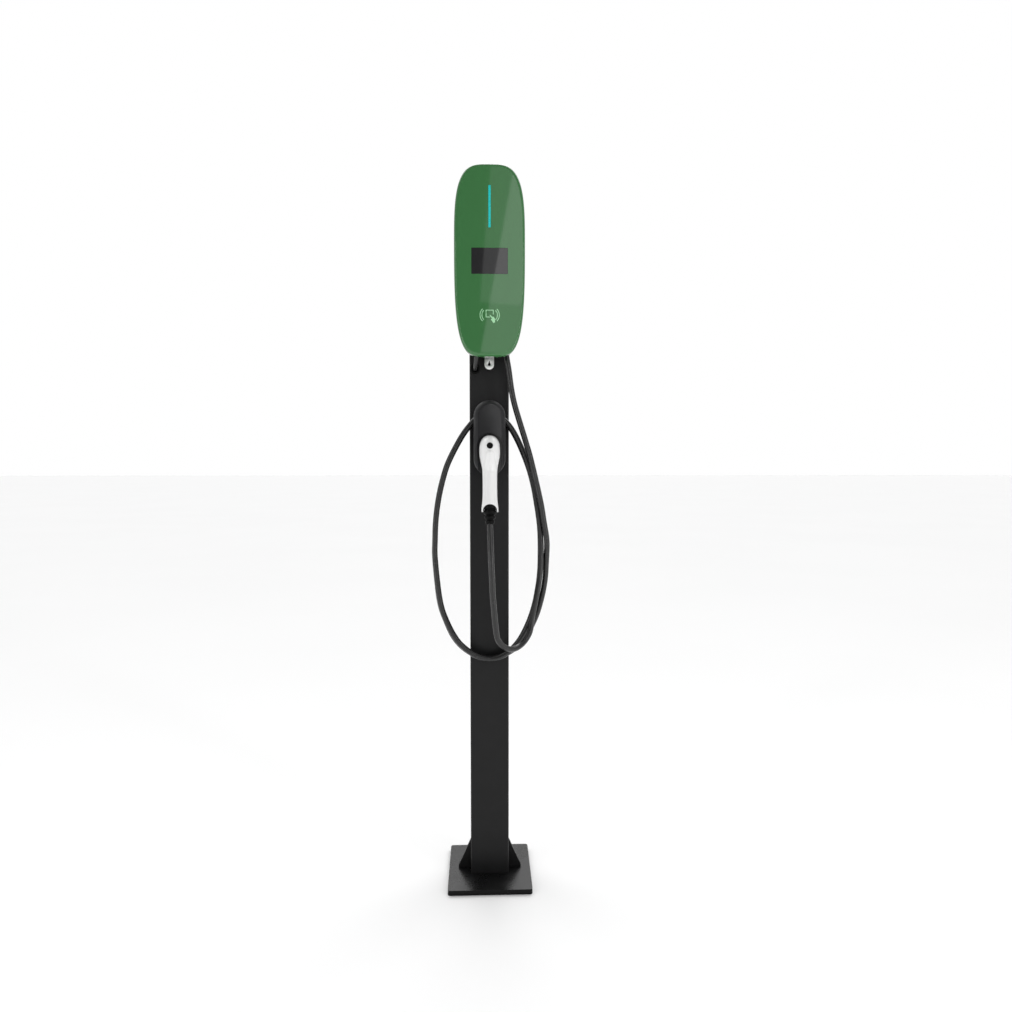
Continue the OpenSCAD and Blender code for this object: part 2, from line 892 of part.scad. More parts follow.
module holder_shield() {
    crown = [[0, 0], [9, 1.2], [14, 3.2], [18, 6.5], [21, 11]];
    color([0.25, 0.25, 0.26])
        difference() {
            union() {
                for (i = [0:len(crown) - 2])
                    slab(shield_back_y - crown[i + 1][0] - 9, shield_back_y)
                        shield_outline(crown[i + 1][1]);
                slab(shield_back_y - 9, shield_back_y)
                    shield_outline(0);
                for (at = shield_peg_places)
                    rod(at, shield_back_y - 1, shield_back_y + 3.4, 3);
            }
            slab(shield_front_y - 1, gun_front_y + 1)
                recess_outline(28.5);
            slab(shield_front_y - 1, shield_back_y + 1)
                liner_outline(0.2);
            for (at = shield_screw_places) {
                rod(at, shield_front_y, shield_back_y + 1, 1.8);
                rod(at, shield_front_y, gun_front_y + 4, 3.2);
            }
        }
}

module shield_screws() {
    color([0.7, 0.7, 0.72])
        for (at = shield_screw_places)
            screw_in(at, gun_front_y + 4, 3, 2, 1.5, 24);
}

module socket_liner() {
    color([0.09, 0.09, 0.09])
        difference() {
            slab(gun_front_y + 2, socket_end_y - 2.2)
                liner_outline(0);
            rod([0, nose_z], gun_front_y, socket_end_y - 5, nose_r + 0.6);
            box([-6, gun_front_y, nose_z], [6, socket_end_y - 5, nose_z + slot_h - 2]);
        }
}

// ---------- connector ----------

// Screws that hold the two halves together: [depth, height]
connector_screw_places = [[-123, 988], [-129, 957], [-134, 934]];

module connector_half(side) {
    difference() {
        union() {
            difference() {
                gun_form(0);
                gun_form(gun_t, gun_t);
            }
            // Screw bosses, and the rib that the button's spring stands on
            intersection() {
                gun_form(0.5);
                union() {
                    for (at = connector_screw_places)
                        rod_x([0, at[0], at[1]], -30, 30, 3.6);
                    box([-30, rib_y - 2, 1012], [30, rib_y, 1036]);
                }
            }
        }
        for (at = connector_screw_places) {
            rod_x([0, at[0], at[1]], -12.2, 30, 1.7);
            rod_x([0, at[0], at[1]], 11.8, 30, 3);
        }
        rod([0, button_z], rib_y - 3, rib_y + 1, 2.7);
        // Flat mouth that the nose comes out of
        box([-30, gun_front_y, 960], [30, -30, 1060]);
        rod([0, nose_z], -100, -80, nose_r + 0.4);
        // Slot for the latch lever, button hole, open foot for the boot
        box([-4.4, -103, 1038], [4.4, -80, 1060]);
        rod([0, button_z], -155, -137, button_r + 0.3);
        translate(boot_foot)
            rotate([-boot_tilt, 0, 0]) {
                cylinder(h = 44.5, r = 15.5);
                cylinder(h = 51, r = 14.4);
            }
        rod([0, 886], -200, -141, 15.4);
        box(side > 0 ? [-60, -200, 860] : [-0.05, -200, 860],
            side > 0 ? [0.05, -30, 1070] : [60, -30, 1070]);
        rod_x(pivot, -17.7, 17.7, pivot_r + 0.05);
    }
}

// A round bar along X through a point, from x0 to x1
module rod_x(at, x0, x1, r) {
    translate([x0, at[1], at[2]])
        rotate([0, 90, 0])
            cylinder(h = x1 - x0, r = r);
}

module connector_left_shell() {
    color([0.93, 0.93, 0.92])
        connector_half(-1);
}

module connector_right_shell() {
    color([0.93, 0.93, 0.92])
        connector_half(1);
}

contact_places = concat(
    [[0, 0]],
    [for (i = [0:3]) [10.5 * cos(45 + 90 * i), 10.5 * sin(45 + 90 * i)]],
    [[-11.5, 0], [11.5, 0]]
);

module connector_nose() {
    nose_tip = socket_end_y - 6;
    color([0.07, 0.07, 0.07])
        difference() {
            union() {
                rod([0, nose_z], -100, nose_tip, nose_r);
                rod([0, nose_z - 1.2], -106, -100 + eps, nose_r - 3);
            }
            rod([0, nose_z], nose_tip - 4, nose_tip + 1, nose_r - 2.5);
            for (c = contact_places)
                rod([c[0], nose_z + c[1]], -94, nose_tip, 2.9);
            // Flat that the latch lever lies over
            box([-5, -107, nose_z + nose_r - 3.8], [5, nose_tip + 1, nose_z + nose_r + 5]);
        }
}

module contact_sleeves() {
    color([0.8, 0.72, 0.45])
        for (c = contact_places)
            difference() {
                rod([c[0], nose_z + c[1]], -93.5, socket_end_y - 13, 2.7);
                rod([c[0], nose_z + c[1]], -84, socket_end_y - 12, 1.6);
            }
}

module nose_seal() {
    color([0.3, 0.3, 0.3])
        difference() {
            rod([0, nose_z], gun_front_y, gun_front_y + 1.6, nose_r + 2.4);
            rod([0, nose_z], gun_front_y - 1, gun_front_y + 3, nose_r);
            box([-5, -107, nose_z + nose_r - 4], [5, gun_front_y + 5, nose_z + nose_r + 5]);
        }
}

module release_button() {
    flange_y0 = rib_y - 10;
    foot_y = rib_y + 0.5;
    color([0.03, 0.03, 0.03]) {
        rod([0, button_z], button_face_y, flange_y0 + 0.5, button_r);
        rod([0, button_z], flange_y0, flange_y0 + 1.5, button_r + 1.5);
        rod([0, button_z], flange_y0 + 1, foot_y + 1, 2.4);
        // Foot plate, with the nose that pushes the lever's leg
        box([-3, foot_y, 1005], [3, foot_y + 1.5, button_z + 2]);
        box([-3, foot_y + 1, 1007.5], [3, foot_y + 3.5, 1010.5]);
    }
}

module button_spring() {
    turns = 2.5;
    steps = 12;
    wire_r = 0.4;
    coil_r = 4.2;
    start_y = rib_y - 8;
    length = 5.4;
    helix = [
        for (i = [0:turns * steps])
            let (a = 360 * i / steps)
            [coil_r * cos(a), start_y + length * i / (turns * steps), button_z + coil_r * sin(a)]
    ];
    color([0.75, 0.75, 0.75])
        tube(helix, wire_r, 6, [0, 1, 0.01]);
}

module latch_lever() {
    leg_y = rib_y + 4.4;
    color([0.55, 0.56, 0.58])
        difference() {
            union() {
                rod_x(pivot, -3.6, 3.6, 3.4);
                box([-3.6, pivot[1], pivot[2] + 0.6], [3.6, -52, pivot[2] + 3.4]);
                box([-3.6, -56, pivot[2] + 3], [3.6, -52, pivot[2] + 5.2]);
                box([-3, leg_y, pivot[2] - 1.5], [3, pivot[1], pivot[2] + 1.5]);
                box([-3, leg_y, 1001], [3, leg_y + 3, pivot[2] + 1.5]);
            }
            rod_x(pivot, -5, 5, pivot_r + 0.05);
        }
}

module latch_pin() {
    color([0.7, 0.7, 0.72])
        rod_x(pivot, -17.5, 17.5, pivot_r);
}

module button_switch() {
    color([0.15, 0.15, 0.3]) {
        box([-4, -113, 1000], [4, -106.3, 1006.5]);
        box([-1, -115.3, 1001.5], [1, -113 + eps, 1004.5]);
    }
}

module cable_clamp() {
    color([0.6, 0.6, 0.62])
        difference() {
            translate(boot_foot)
                rotate([-boot_tilt, 0, 0])
                    translate([-10.5, -8, 57])
                        cube([21, 16, 8]);
            translate(boot_foot)
                rotate([-boot_tilt, 0, 0])
                    cylinder(h = 80, r = cable_d / 2);
        }
}

// Leans a piece on the boot's axis and cuts its foot level
module on_boot_axis() {
    difference() {
        translate(boot_foot)
            rotate([-boot_tilt, 0, 0])
                children();
        box([-20, -170, boot_foot[2] - 20], [20, -120, boot_foot[2]]);
    }
}

module cable_boot() {
    color([0.04, 0.04, 0.04])
        on_boot_axis()
            rotate_extrude()
                polygon([
                    [cable_d / 2, -3], [9, -3], [10, 6], [9, 8], [9, 10], [11.8, 12], [12.2, 17],
                    [10.4, 19], [10.4, 21], [13.4, 23], [13.8, 29], [12, 31], [12, 33], [15.2, 35],
                    [15.2, 41], [14, 46], [11, 50], [cable_d / 2, 50]
                ]);
}

// End of the charging cable, from the boot's foot through the clamp
module cable_end() {
    color([0.13, 0.13, 0.13])
        on_boot_axis()
            translate([0, 0, -3])
                cylinder(h = 69, r = cable_d / 2);
}

module connector_screws() {
    color([0.65, 0.65, 0.67])
        for (at = connector_screw_places) {
            rod_x([0, at[0], at[1]], -12, 12, 1.6);
            rod_x([0, at[0], at[1]], 12, 14, 2.8);
        }
}

// ---------- drawing ----------

base_plate();
column();
column_gussets();
column_cap();
column_grommet();
rivet_nuts();
head_bracket();
bracket_screws();
rear_casing();
casing_gasket();
front_cover();
cover_screws();
lock_tab();
lock_tab_rivets();
light_bar();
light_board();
screen_window();
display_module();
tap_symbol();
card_antenna();
main_board();
component_plate();
contactor();
current_sensor();
terminal_block();
earth_stud();
charging_gland();
charging_gland_nut();
supply_gland();
supply_gland_nut();
supply_lead();
lead_cores();
charging_cable();
holder_base();
holder_screws();
holder_shield();
shield_screws();
socket_liner();
connector_left_shell();
connector_right_shell();
connector_nose();
contact_sleeves();
nose_seal();
release_button();
button_spring();
latch_lever();
latch_pin();
button_switch();
cable_clamp();
cable_boot();
cable_end();
connector_screws();
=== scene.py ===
"""The EV charging post's looks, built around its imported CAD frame.

Metres, +Z up, and -Y is the front. The helpers for shapes take millimetres where they say so.
"""

import json
import math

import bmesh
import bpy
from mathutils import Matrix, Vector
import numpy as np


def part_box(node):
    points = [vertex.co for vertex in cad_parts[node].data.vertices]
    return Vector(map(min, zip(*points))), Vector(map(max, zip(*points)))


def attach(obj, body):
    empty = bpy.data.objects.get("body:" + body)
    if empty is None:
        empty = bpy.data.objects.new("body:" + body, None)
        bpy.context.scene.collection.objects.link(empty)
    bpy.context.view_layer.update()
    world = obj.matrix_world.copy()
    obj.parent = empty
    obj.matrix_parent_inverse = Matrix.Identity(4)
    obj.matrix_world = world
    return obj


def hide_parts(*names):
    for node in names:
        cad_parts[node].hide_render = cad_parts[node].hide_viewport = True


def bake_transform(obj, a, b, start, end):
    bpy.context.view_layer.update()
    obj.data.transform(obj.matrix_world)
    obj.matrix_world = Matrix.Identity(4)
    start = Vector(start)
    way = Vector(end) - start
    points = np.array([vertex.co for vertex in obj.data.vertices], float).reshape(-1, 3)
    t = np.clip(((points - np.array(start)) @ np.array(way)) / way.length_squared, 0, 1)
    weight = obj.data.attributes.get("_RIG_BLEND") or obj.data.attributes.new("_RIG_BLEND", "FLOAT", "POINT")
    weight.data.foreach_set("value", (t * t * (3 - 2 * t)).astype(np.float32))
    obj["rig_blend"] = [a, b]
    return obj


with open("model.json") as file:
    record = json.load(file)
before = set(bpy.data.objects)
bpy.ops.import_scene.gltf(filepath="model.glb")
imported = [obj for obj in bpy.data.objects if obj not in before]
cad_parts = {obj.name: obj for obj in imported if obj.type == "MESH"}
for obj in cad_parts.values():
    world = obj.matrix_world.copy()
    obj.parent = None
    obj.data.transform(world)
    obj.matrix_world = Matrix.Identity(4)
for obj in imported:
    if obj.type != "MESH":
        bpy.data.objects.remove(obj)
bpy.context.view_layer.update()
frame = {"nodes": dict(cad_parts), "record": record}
NODES = frame["nodes"]
SCENE = bpy.context.scene
MM = 0.001
SIDES = (-1, 1)
THICKEST_EDGE = 0.49  # the share of a plate's thickness that one rounded edge may take


# ---------- small helpers ----------


def v(x, y, z):
    """A point given in millimetres."""
    return Vector((x * MM, y * MM, z * MM))


def link(name, mesh):
    """A new object of the mesh, in the scene."""
    piece = bpy.data.objects.new(name, mesh)
    SCENE.collection.objects.link(piece)
    return piece


def smooth(piece, angle=32.0):
    """Smooth shading, with edges sharper than angle kept sharp."""
    mesh = piece.data
    mesh.polygons.foreach_set("use_smooth", [True] * len(mesh.polygons))
    mesh.set_sharp_from_angle(angle=math.radians(angle))
    return piece


def tidy_mesh(mesh, merge=1e-6):
    """Merges double points, drops faces of no size and turns all faces outwards."""
    bm = bmesh.new()
    bm.from_mesh(mesh)
    bmesh.ops.remove_doubles(bm, verts=bm.verts, dist=merge)
    bmesh.ops.dissolve_degenerate(bm, dist=1e-7, edges=bm.edges)
    bmesh.ops.recalc_face_normals(bm, faces=bm.faces)
    bm.to_mesh(mesh)
    bm.free()


def skin(name, rings):
    """A surface over rings of points, with both ends capped."""
    n, count = len(rings[0]), len(rings)
    points = [p for ring in rings for p in ring]
    faces = []
    for i in range(count - 1):
        a, b = i * n, (i + 1) * n
        faces += [[a + j, b + j, b + (j + 1) % n, a + (j + 1) % n] for j in range(n)]
    faces.append(list(range(n)))
    faces.append([(count - 1) * n + j for j in reversed(range(n))])
    mesh = bpy.data.meshes.new(name)
    mesh.from_pydata(points, [], faces)
    tidy_mesh(mesh)
    return link(name, mesh)


def applied(piece):
    """Applies the piece's modifiers and its place, and leaves a plain mesh."""
    bpy.context.view_layer.update()
    graph = bpy.context.evaluated_depsgraph_get()
    mesh = bpy.data.meshes.new_from_object(piece.evaluated_get(graph))
    mesh.transform(piece.matrix_world)
    name = piece.name
    bpy.data.objects.remove(piece)
    return link(name, mesh)


def cut(piece, *cutters):
    """Takes the cutters out of the piece."""
    for cutter in cutters:
        step = piece.modifiers.new("cut", "BOOLEAN")
        step.operation = "DIFFERENCE"
        step.solver = "EXACT"
        step.object = cutter
    made = applied(piece)
    for cutter in cutters:
        bpy.data.objects.remove(cutter)
    tidy_mesh(made.data)
    return made


def joined(name, pieces):
    """One mesh made of several."""
    bm = bmesh.new()
    for piece in pieces:
        piece.data.transform(piece.matrix_world)
        bm.from_mesh(piece.data)
        bpy.data.objects.remove(piece)
    mesh = bpy.data.meshes.new(name)
    bm.to_mesh(mesh)
    bm.free()
    return link(name, mesh)


def plate(name, loops, low, high, edge, facing="y"):
    """A flat piece from loops of 2-D points, the inner ones holes, with rounded edges.

    It reaches from low to high along y, or along z. All sizes are in millimetres.
    """
    shape = bpy.data.curves.new(name, "CURVE")
    shape.dimensions = "2D"
    shape.fill_mode = "BOTH"
    edge = min(edge, (high - low) * THICKEST_EDGE)
    shape.extrude = ((high - low) / 2 - edge) * MM
    shape.bevel_depth = edge * MM
    shape.bevel_resolution = 3
    shape.offset = -edge * MM
    for loop in loops:
        line = shape.splines.new("POLY")
        line.points.add(len(loop) - 1)
        for point, (x, y) in zip(line.points, loop):
            point.co = (x * MM, y * MM, 0, 1)
        line.use_cyclic_u = True
    piece = bpy.data.objects.new(name, shape)
    SCENE.collection.objects.link(piece)
    middle = (low + high) / 2 * MM
    if facing == "y":
        upright = Matrix.Rotation(math.pi / 2, 4, "X")
        piece.matrix_world = Matrix.Translation((0, middle, 0)) @ upright
    else:
        piece.matrix_world = Matrix.Translation((0, 0, middle))
    made = applied(piece)
    tidy_mesh(made.data, 1e-5)
    return smooth(made)


def revolve(name, outline, steps=48):
    """A round piece about Z from [radius, height] points in millimetres."""
    return skin(name, [[v(x, y, z) for x, y in circle(r, steps=steps)] for r, z in outline])


def placed(piece, place):
    """Moves the piece's mesh to its place."""
    piece.data.transform(place)
    return piece


def along_y(x, y, z):
    """Turns a piece made about Z to lie along +Y from a point given in millimetres."""
    return Matrix.Translation(v(x, y, z)) @ Matrix.Rotation(-math.pi / 2, 4, "X")


def rounded_square(w, h, r, x=0.0, y=0.0):
    """Outline of a rectangle w by h about x and y, with corners of radius r."""
    points, steps = [], 8
    for turn, (sx, sy) in enumerate([(1, 1), (-1, 1), (-1, -1), (1, -1)]):
        middle_x, middle_y = x + sx * (w / 2 - r), y + sy * (h / 2 - r)
        for i in range(steps + 1):
            a = math.pi / 2 * (turn + i / steps)
            points.append((middle_x + r * math.cos(a), middle_y + r * math.sin(a)))
    return points


def circle(r, x=0.0, y=0.0, steps=48):
    """Outline of a circle about x and y."""
    return [
        (x + r * math.cos(2 * math.pi * j / steps), y + r * math.sin(2 * math.pi * j / steps))
        for j in range(steps)
    ]


def arc(x, y, r, start, end, steps):
    """Part of a circle about x and y, between two angles in degrees."""
    turns = [math.radians(start + (end - start) * i / steps) for i in range(steps + 1)]
    return [(x + r * math.cos(a), y + r * math.sin(a)) for a in turns]


def on_curve(p, t):
    """A point on the smooth curve through the points p, as the CAD works it out."""
    last = len(p) - 1
    i = min(int(t), last - 1)
    f = t - i
    a, b, c, d = p[max(i - 1, 0)], p[i], p[i + 1], p[min(i + 2, last)]
    return [
        0.5 * (2 * b[k] + (c[k] - a[k]) * f + (2 * a[k] - 5 * b[k] + 4 * c[k] - d[k]) * f * f
               + (3 * b[k] - a[k] - 3 * c[k] + d[k]) * f**3)
        for k in range(len(b))
    ]


def even_path(p, step):
    """The smooth curve through p as points an even step apart."""
    samples = 40  # between two points of p
    fine = [Vector(on_curve(p, i / samples)) for i in range((len(p) - 1) * samples + 1)]
    total = sum((b - a).length for a, b in zip(fine, fine[1:]))
    count = round(total / step)
    out, gone, k = [fine[0]], 0.0, 0
    for i in range(1, count):
        want = total * i / count
        while gone + (fine[k + 1] - fine[k]).length < want:
            gone += (fine[k + 1] - fine[k]).length
            k += 1
        share = (want - gone) / (fine[k + 1] - fine[k]).length
        out.append(fine[k].lerp(fine[k + 1], share))
    return out + [fine[-1]]


def tube(name, path, radius, sides=24):
    """A round tube along a path, with its rings carried along without twist."""
    rings, across = [], Vector((1, 0, 0))
    turns = [2 * math.pi * j / sides for j in range(sides)]
    for i, point in enumerate(path):
        ahead = (path[min(i + 1, len(path) - 1)] - path[max(i - 1, 0)]).normalized()
        across = (across - ahead * across.dot(ahead)).normalized()
        other = ahead.cross(across)
        rings.append([point + radius * (math.cos(a) * across + math.sin(a) * other) for a in turns])
    return smooth(skin(name, rings), 50)


def bevelled(piece, width, segments=3, angle=40):
    """Rounds the piece's sharp edges with a modifier, width in millimetres."""
    step = piece.modifiers.new("bevel", "BEVEL")
    step.width = width * MM
    step.segments = segments
    step.limit_method = "ANGLE"
    step.angle_limit = math.radians(angle)
    step.harden_normals = True


def block(name, low, high):
    """A plain block between two corners in millimetres, to cut with."""
    (x0, y0, z0), (x1, y1, z1) = low, high
    return plate(name, [[(x0, z0), (x1, z0), (x1, z1), (x0, z1)]], y0, y1, 0)


def bore(name, r, depth, x, y, z):
    """A round block along +Y from a point in millimetres, to cut with."""
    return placed(revolve(name, [(r, 0), (r, depth)]), along_y(x, y, z))


def power(value, p):
    """value to the power p, with the sign of value."""
    return math.copysign(abs(value) ** p, value)


def rise(value, low, high):
    """Goes smoothly from 0 at low to 1 at high."""
    f = min(max((value - low) / (high - low), 0), 1)
    return f * f * (3 - 2 * f)


def quarter(turn, depth, steps=10):
    """A quarter of an ellipse as [depth, inset] steps."""
    return [
        (depth * math.sin(math.pi / 2 * i / steps), turn * (1 - math.cos(math.pi / 2 * i / steps)))
        for i in range(steps + 1)
    ]


def softened(outline, size=0.8):
    """Rounds the corners of an outline of [radius, height] points."""
    out, steps, most = [outline[0]], 4, 0.45  # of a side's length
    for a, b, c in zip(outline, outline[1:], outline[2:]):
        b = Vector(b)
        before, after = Vector(a) - b, Vector(c) - b
        start = b + before.normalized() * min(size, before.length * most)
        end = b + after.normalized() * min(size, after.length * most)
        for i in range(steps + 1):
            f = i / steps
            out.append(tuple(start * (1 - f) ** 2 + 2 * b * f * (1 - f) + end * f**2))
    return out + [outline[-1]]


# ---------- materials ----------


def map_range(nodes, links, value, low, high, to_low, to_high, interpolation="LINEAR"):
    """A Map Range node on value."""
    node = nodes.new("ShaderNodeMapRange")
    node.interpolation_type = interpolation
    ends = {"From Min": low, "From Max": high, "To Min": to_low, "To Max": to_high}
    for key, number in ends.items():
        node.inputs[key].default_value = number
    links.new(value, node.inputs["Value"])
    return node.outputs["Result"]


class Paint:
    """A material's nodes, built step by step."""

    EDGE_REACH = 0.0015  # metres
    NOISE_ROUGHNESS = 0.55

    def __init__(self, name, colour, roughness, **sockets):
        """A plain material. sockets gives more of the shader's values, by name."""
        self.material = bpy.data.materials.new(name)
        self.material.use_nodes = True
        self.nodes = self.material.node_tree.nodes
        self.links = self.material.node_tree.links
        self.shader = self.nodes["Principled BSDF"]
        self.shader.inputs["Base Color"].default_value = (*colour, 1)
        self.shader.inputs["Roughness"].default_value = roughness
        for socket, value in sockets.items():
            self.shader.inputs[socket.replace("_", " ")].default_value = value
        self.colour = (*colour, 1)
        self.coords = self.nodes.new("ShaderNodeTexCoord").outputs["Object"]

    def noise(self, scale, detail=4.0, stretch=None):
        """Cloudy noise from 0 to 1, the same in every view. stretch scales it along each axis."""
        texture = self.nodes.new("ShaderNodeTexNoise")
        texture.inputs["Scale"].default_value = scale
        texture.inputs["Detail"].default_value = detail
        texture.inputs["Roughness"].default_value = self.NOISE_ROUGHNESS
        source = self.coords
        if stretch:
            mapping = self.nodes.new("ShaderNodeMapping")
            mapping.inputs["Scale"].default_value = stretch
            self.links.new(self.coords, mapping.inputs["Vector"])
            source = mapping.outputs["Vector"]
        self.links.new(source, texture.inputs["Vector"])
        return texture.outputs["Fac"]

    def ranged(self, value, low, high, to_low, to_high):
        """Maps value from between low and high to between to_low and to_high."""
        return map_range(self.nodes, self.links, value, low, high, to_low, to_high)

    def edges(self):
        """High on edges, where the surface turns within EDGE_REACH."""
        geometry = self.nodes.new("ShaderNodeNewGeometry")
        soft = self.nodes.new("ShaderNodeBevel")
        soft.samples = 4
        soft.inputs["Radius"].default_value = self.EDGE_REACH
        dot = self.nodes.new("ShaderNodeVectorMath")
        dot.operation = "DOT_PRODUCT"
        self.links.new(soft.outputs["Normal"], dot.inputs[0])
        self.links.new(geometry.outputs["Normal"], dot.inputs[1])
        turned = self.ranged(dot.outputs["Value"], 0.995, 0.85, 0, 1)
        patchy = self.ranged(self.noise(90, 4), 0.35, 0.65, 0.2, 1)
        both = self.nodes.new("ShaderNodeMath")
        both.operation = "MULTIPLY"
        self.links.new(turned, both.inputs[0])
        self.links.new(patchy, both.inputs[1])
        return both.outputs["Value"]

    def tint(self, factor, colour):
        """Mixes a colour over the paint where factor is high."""
        mix = self.nodes.new("ShaderNodeMix")
        mix.data_type = "RGBA"
        self.links.new(factor, mix.inputs["Factor"])
        socket = self.shader.inputs["Base Color"]
        if socket.links:
            self.links.new(socket.links[0].from_socket, mix.inputs["A"])
        else:
            mix.inputs["A"].default_value = self.colour
        mix.inputs["B"].default_value = (*colour, 1)
        self.links.new(mix.outputs["Result"], socket)

    def rough(self, value, low, high, to_low, to_high):
        """Varies the roughness with value."""
        varied = self.ranged(value, low, high, to_low, to_high)
        self.links.new(varied, self.shader.inputs["Roughness"])

    def shine_on_top(self, low, high):
        """Faces that look up shine more than the sides."""
        geometry = self.nodes.new("ShaderNodeNewGeometry")
        split = self.nodes.new("ShaderNodeSeparateXYZ")
        self.links.new(geometry.outputs["Normal"], split.inputs["Vector"])
        shine = self.ranged(split.outputs["Z"], 0.6, 0.95, low, high)
        self.links.new(shine, self.shader.inputs["Specular IOR Level"])

    def bump(self, value, depth, strength):
        """Raises the surface where value is high."""
        node = self.nodes.new("ShaderNodeBump")
        node.inputs["Distance"].default_value = depth
        node.inputs["Strength"].default_value = strength
        self.links.new(value, node.inputs["Height"])
        self.links.new(node.outputs["Normal"], self.shader.inputs["Normal"])


def powder_coat(name, colour, roughness, worn, shine, top_shine=None):
    """Sprayed powder paint: fine orange peel, faint clouding, lighter rubbed edges."""
    paint = Paint(name, colour, roughness, Specular_IOR_Level=shine)
    if top_shine:
        paint.shine_on_top(shine, top_shine)
    paint.tint(paint.ranged(paint.noise(14, 5), 0.35, 0.7, 0, 0.35), [c * 1.35 for c in colour])
    paint.tint(paint.ranged(paint.edges(), 0, 1, 0, 0.35), worn)
    paint.rough(paint.noise(35, 5), 0.3, 0.7, roughness - 0.05, roughness + 0.07)
    paint.bump(paint.noise(1500, 2), 0.00003, 0.4)
    return paint.material


def gloss_plastic(name, colour, roughness, shine=0.5, peel=0.5, spread=0.03):
    """Polished moulding: nearly flat, with faint handling marks in the gloss."""
    paint = Paint(name, colour, roughness, Specular_IOR_Level=shine)
    paint.tint(paint.ranged(paint.noise(9, 3), 0.3, 0.7, 0, 0.10), [c * 0.86 for c in colour])
    paint.rough(paint.noise(60, 6), 0.35, 0.75, roughness, roughness + spread)
    paint.bump(paint.noise(260, 2), 0.00001 * peel, 0.4)
    return paint.material


def moulded_plastic(name, colour, roughness=0.5):
    """Spark-eroded plastic: fine grain and dull patches."""
    paint = Paint(name, colour, roughness, Specular_IOR_Level=0.35)
    paler = [c * 1.5 + 0.004 for c in colour]
    paint.tint(paint.ranged(paint.noise(22, 4), 0.3, 0.75, 0, 0.4), paler)
    paint.rough(paint.noise(80, 5), 0.3, 0.7, roughness - 0.08, roughness + 0.08)
    paint.bump(paint.noise(900, 3), 0.00009, 0.6)
    return paint.material


def soft_rubber(name, colour, roughness):
    """Moulded rubber: matt, dusty in patches."""
    paint = Paint(name, colour, roughness, Specular_IOR_Level=0.1)
    dusty = [c * 2.2 + 0.001 for c in colour]
    paint.tint(paint.ranged(paint.noise(60, 6), 0.45, 0.8, 0, 0.5), dusty)
    paint.rough(paint.noise(140, 5), 0.3, 0.7, roughness - 0.08, roughness + 0.1)
    paint.bump(paint.noise(1200, 3), 0.00008, 0.6)
    return paint.material


def cable_sheath(name, colour, roughness):
    """Extruded sheath: satin shine, faint scuffs and a very fine grain."""
    paint = Paint(name, colour, roughness, Specular_IOR_Level=0.5)
    scuffed = [c * 1.5 + 0.003 for c in colour]
    paint.tint(paint.ranged(paint.noise(28, 4), 0.45, 0.8, 0, 0.2), scuffed)
    paint.rough(paint.noise(45, 4), 0.3, 0.75, roughness - 0.02, roughness + 0.05)
    paint.bump(paint.noise(1100, 2), 0.00002, 0.3)
    return paint.material


def brushed_metal(name, colour, roughness, stretch=(30, 30, 900)):
    """Rolled or brushed metal: fine lines one way, cloudy shine."""
    paint = Paint(name, colour, roughness, Metallic=1.0)
    lines = paint.noise(1, 5, stretch)
    paint.tint(paint.ranged(paint.noise(30, 5), 0.35, 0.75, 0, 0.35), [c * 0.72 for c in colour])
    paint.rough(lines, 0.3, 0.7, roughness - 0.08, roughness + 0.12)
    paint.bump(lines, 0.00004, 0.5)
    return paint.material


def circuit_board(name, colour):
    """Solder mask with darker tracks running two ways."""
    paint = Paint(name, colour, 0.3)
    tracks = paint.noise(1, 2, (900, 60, 120))
    paint.tint(paint.ranged(tracks, 0.5, 0.54, 0, 0.7), [c * 0.45 for c in colour])
    paint.tint(paint.ranged(paint.noise(420, 1), 0.66, 0.7, 0, 0.8), (0.45, 0.42, 0.33))
    paint.rough(paint.noise(90, 4), 0.3, 0.7, 0.22, 0.4)
    paint.bump(tracks, 0.00003, 0.6)
    return paint.material


def light_pipe(name, colour, strength):
    """Lit diffuser: an even glow in a slightly cloudy plastic."""
    paint = Paint(name, colour, 0.25)
    paint.shader.inputs["Emission Color"].default_value = (*colour, 1)
    paint.shader.inputs["Emission Strength"].default_value = strength
    lighter = [min(c * 1.4 + 0.02, 1) for c in colour]
    paint.tint(paint.ranged(paint.noise(200, 3), 0.4, 0.7, 0, 0.2), lighter)
    paint.rough(paint.noise(120, 4), 0.3, 0.7, 0.2, 0.32)
    paint.bump(paint.noise(800, 2), 0.00002, 0.4)
    return paint.material


COLUMN = powder_coat("column_powder", (0.0095, 0.0095, 0.0098), 0.42, (0.035, 0.035, 0.035), 0.22)
PLATE = powder_coat("plate_powder", (0.0065, 0.0065, 0.0067), 0.28, (0.03, 0.03, 0.03), 0.12, 0.45)
GREEN = gloss_plastic("cover_green", (0.047, 0.165, 0.055), 0.03, peel=0.1, spread=0.012)
GLASS = gloss_plastic("window_tint", (0.020, 0.020, 0.021), 0.025, 0.55, 0.1, 0.01)
SHIELD = gloss_plastic("shield_charcoal", (0.021, 0.021, 0.022), 0.08, 0.4, 0.3)
SHIELD_RIM = moulded_plastic("shield_rim", (0.010, 0.010, 0.011), 0.6)
WHITE = gloss_plastic("connector_white", (0.87, 0.87, 0.865), 0.12)
BLACK_GLOSS = gloss_plastic("button_black", (0.003, 0.003, 0.003), 0.45, 0.12)
CASING = moulded_plastic("casing_black", (0.016, 0.016, 0.016))
NOSE = moulded_plastic("nose_black", (0.012, 0.012, 0.012), 0.45)
RUBBER = soft_rubber("rubber_black", (0.003, 0.003, 0.003), 0.42)
SHEATH = cable_sheath("cable_sheath", (0.014, 0.014, 0.014), 0.24)
LEAD = cable_sheath("lead_sheath", (0.028, 0.028, 0.028), 0.42)
STEEL = brushed_metal("zinc_steel", (0.55, 0.55, 0.56), 0.35)
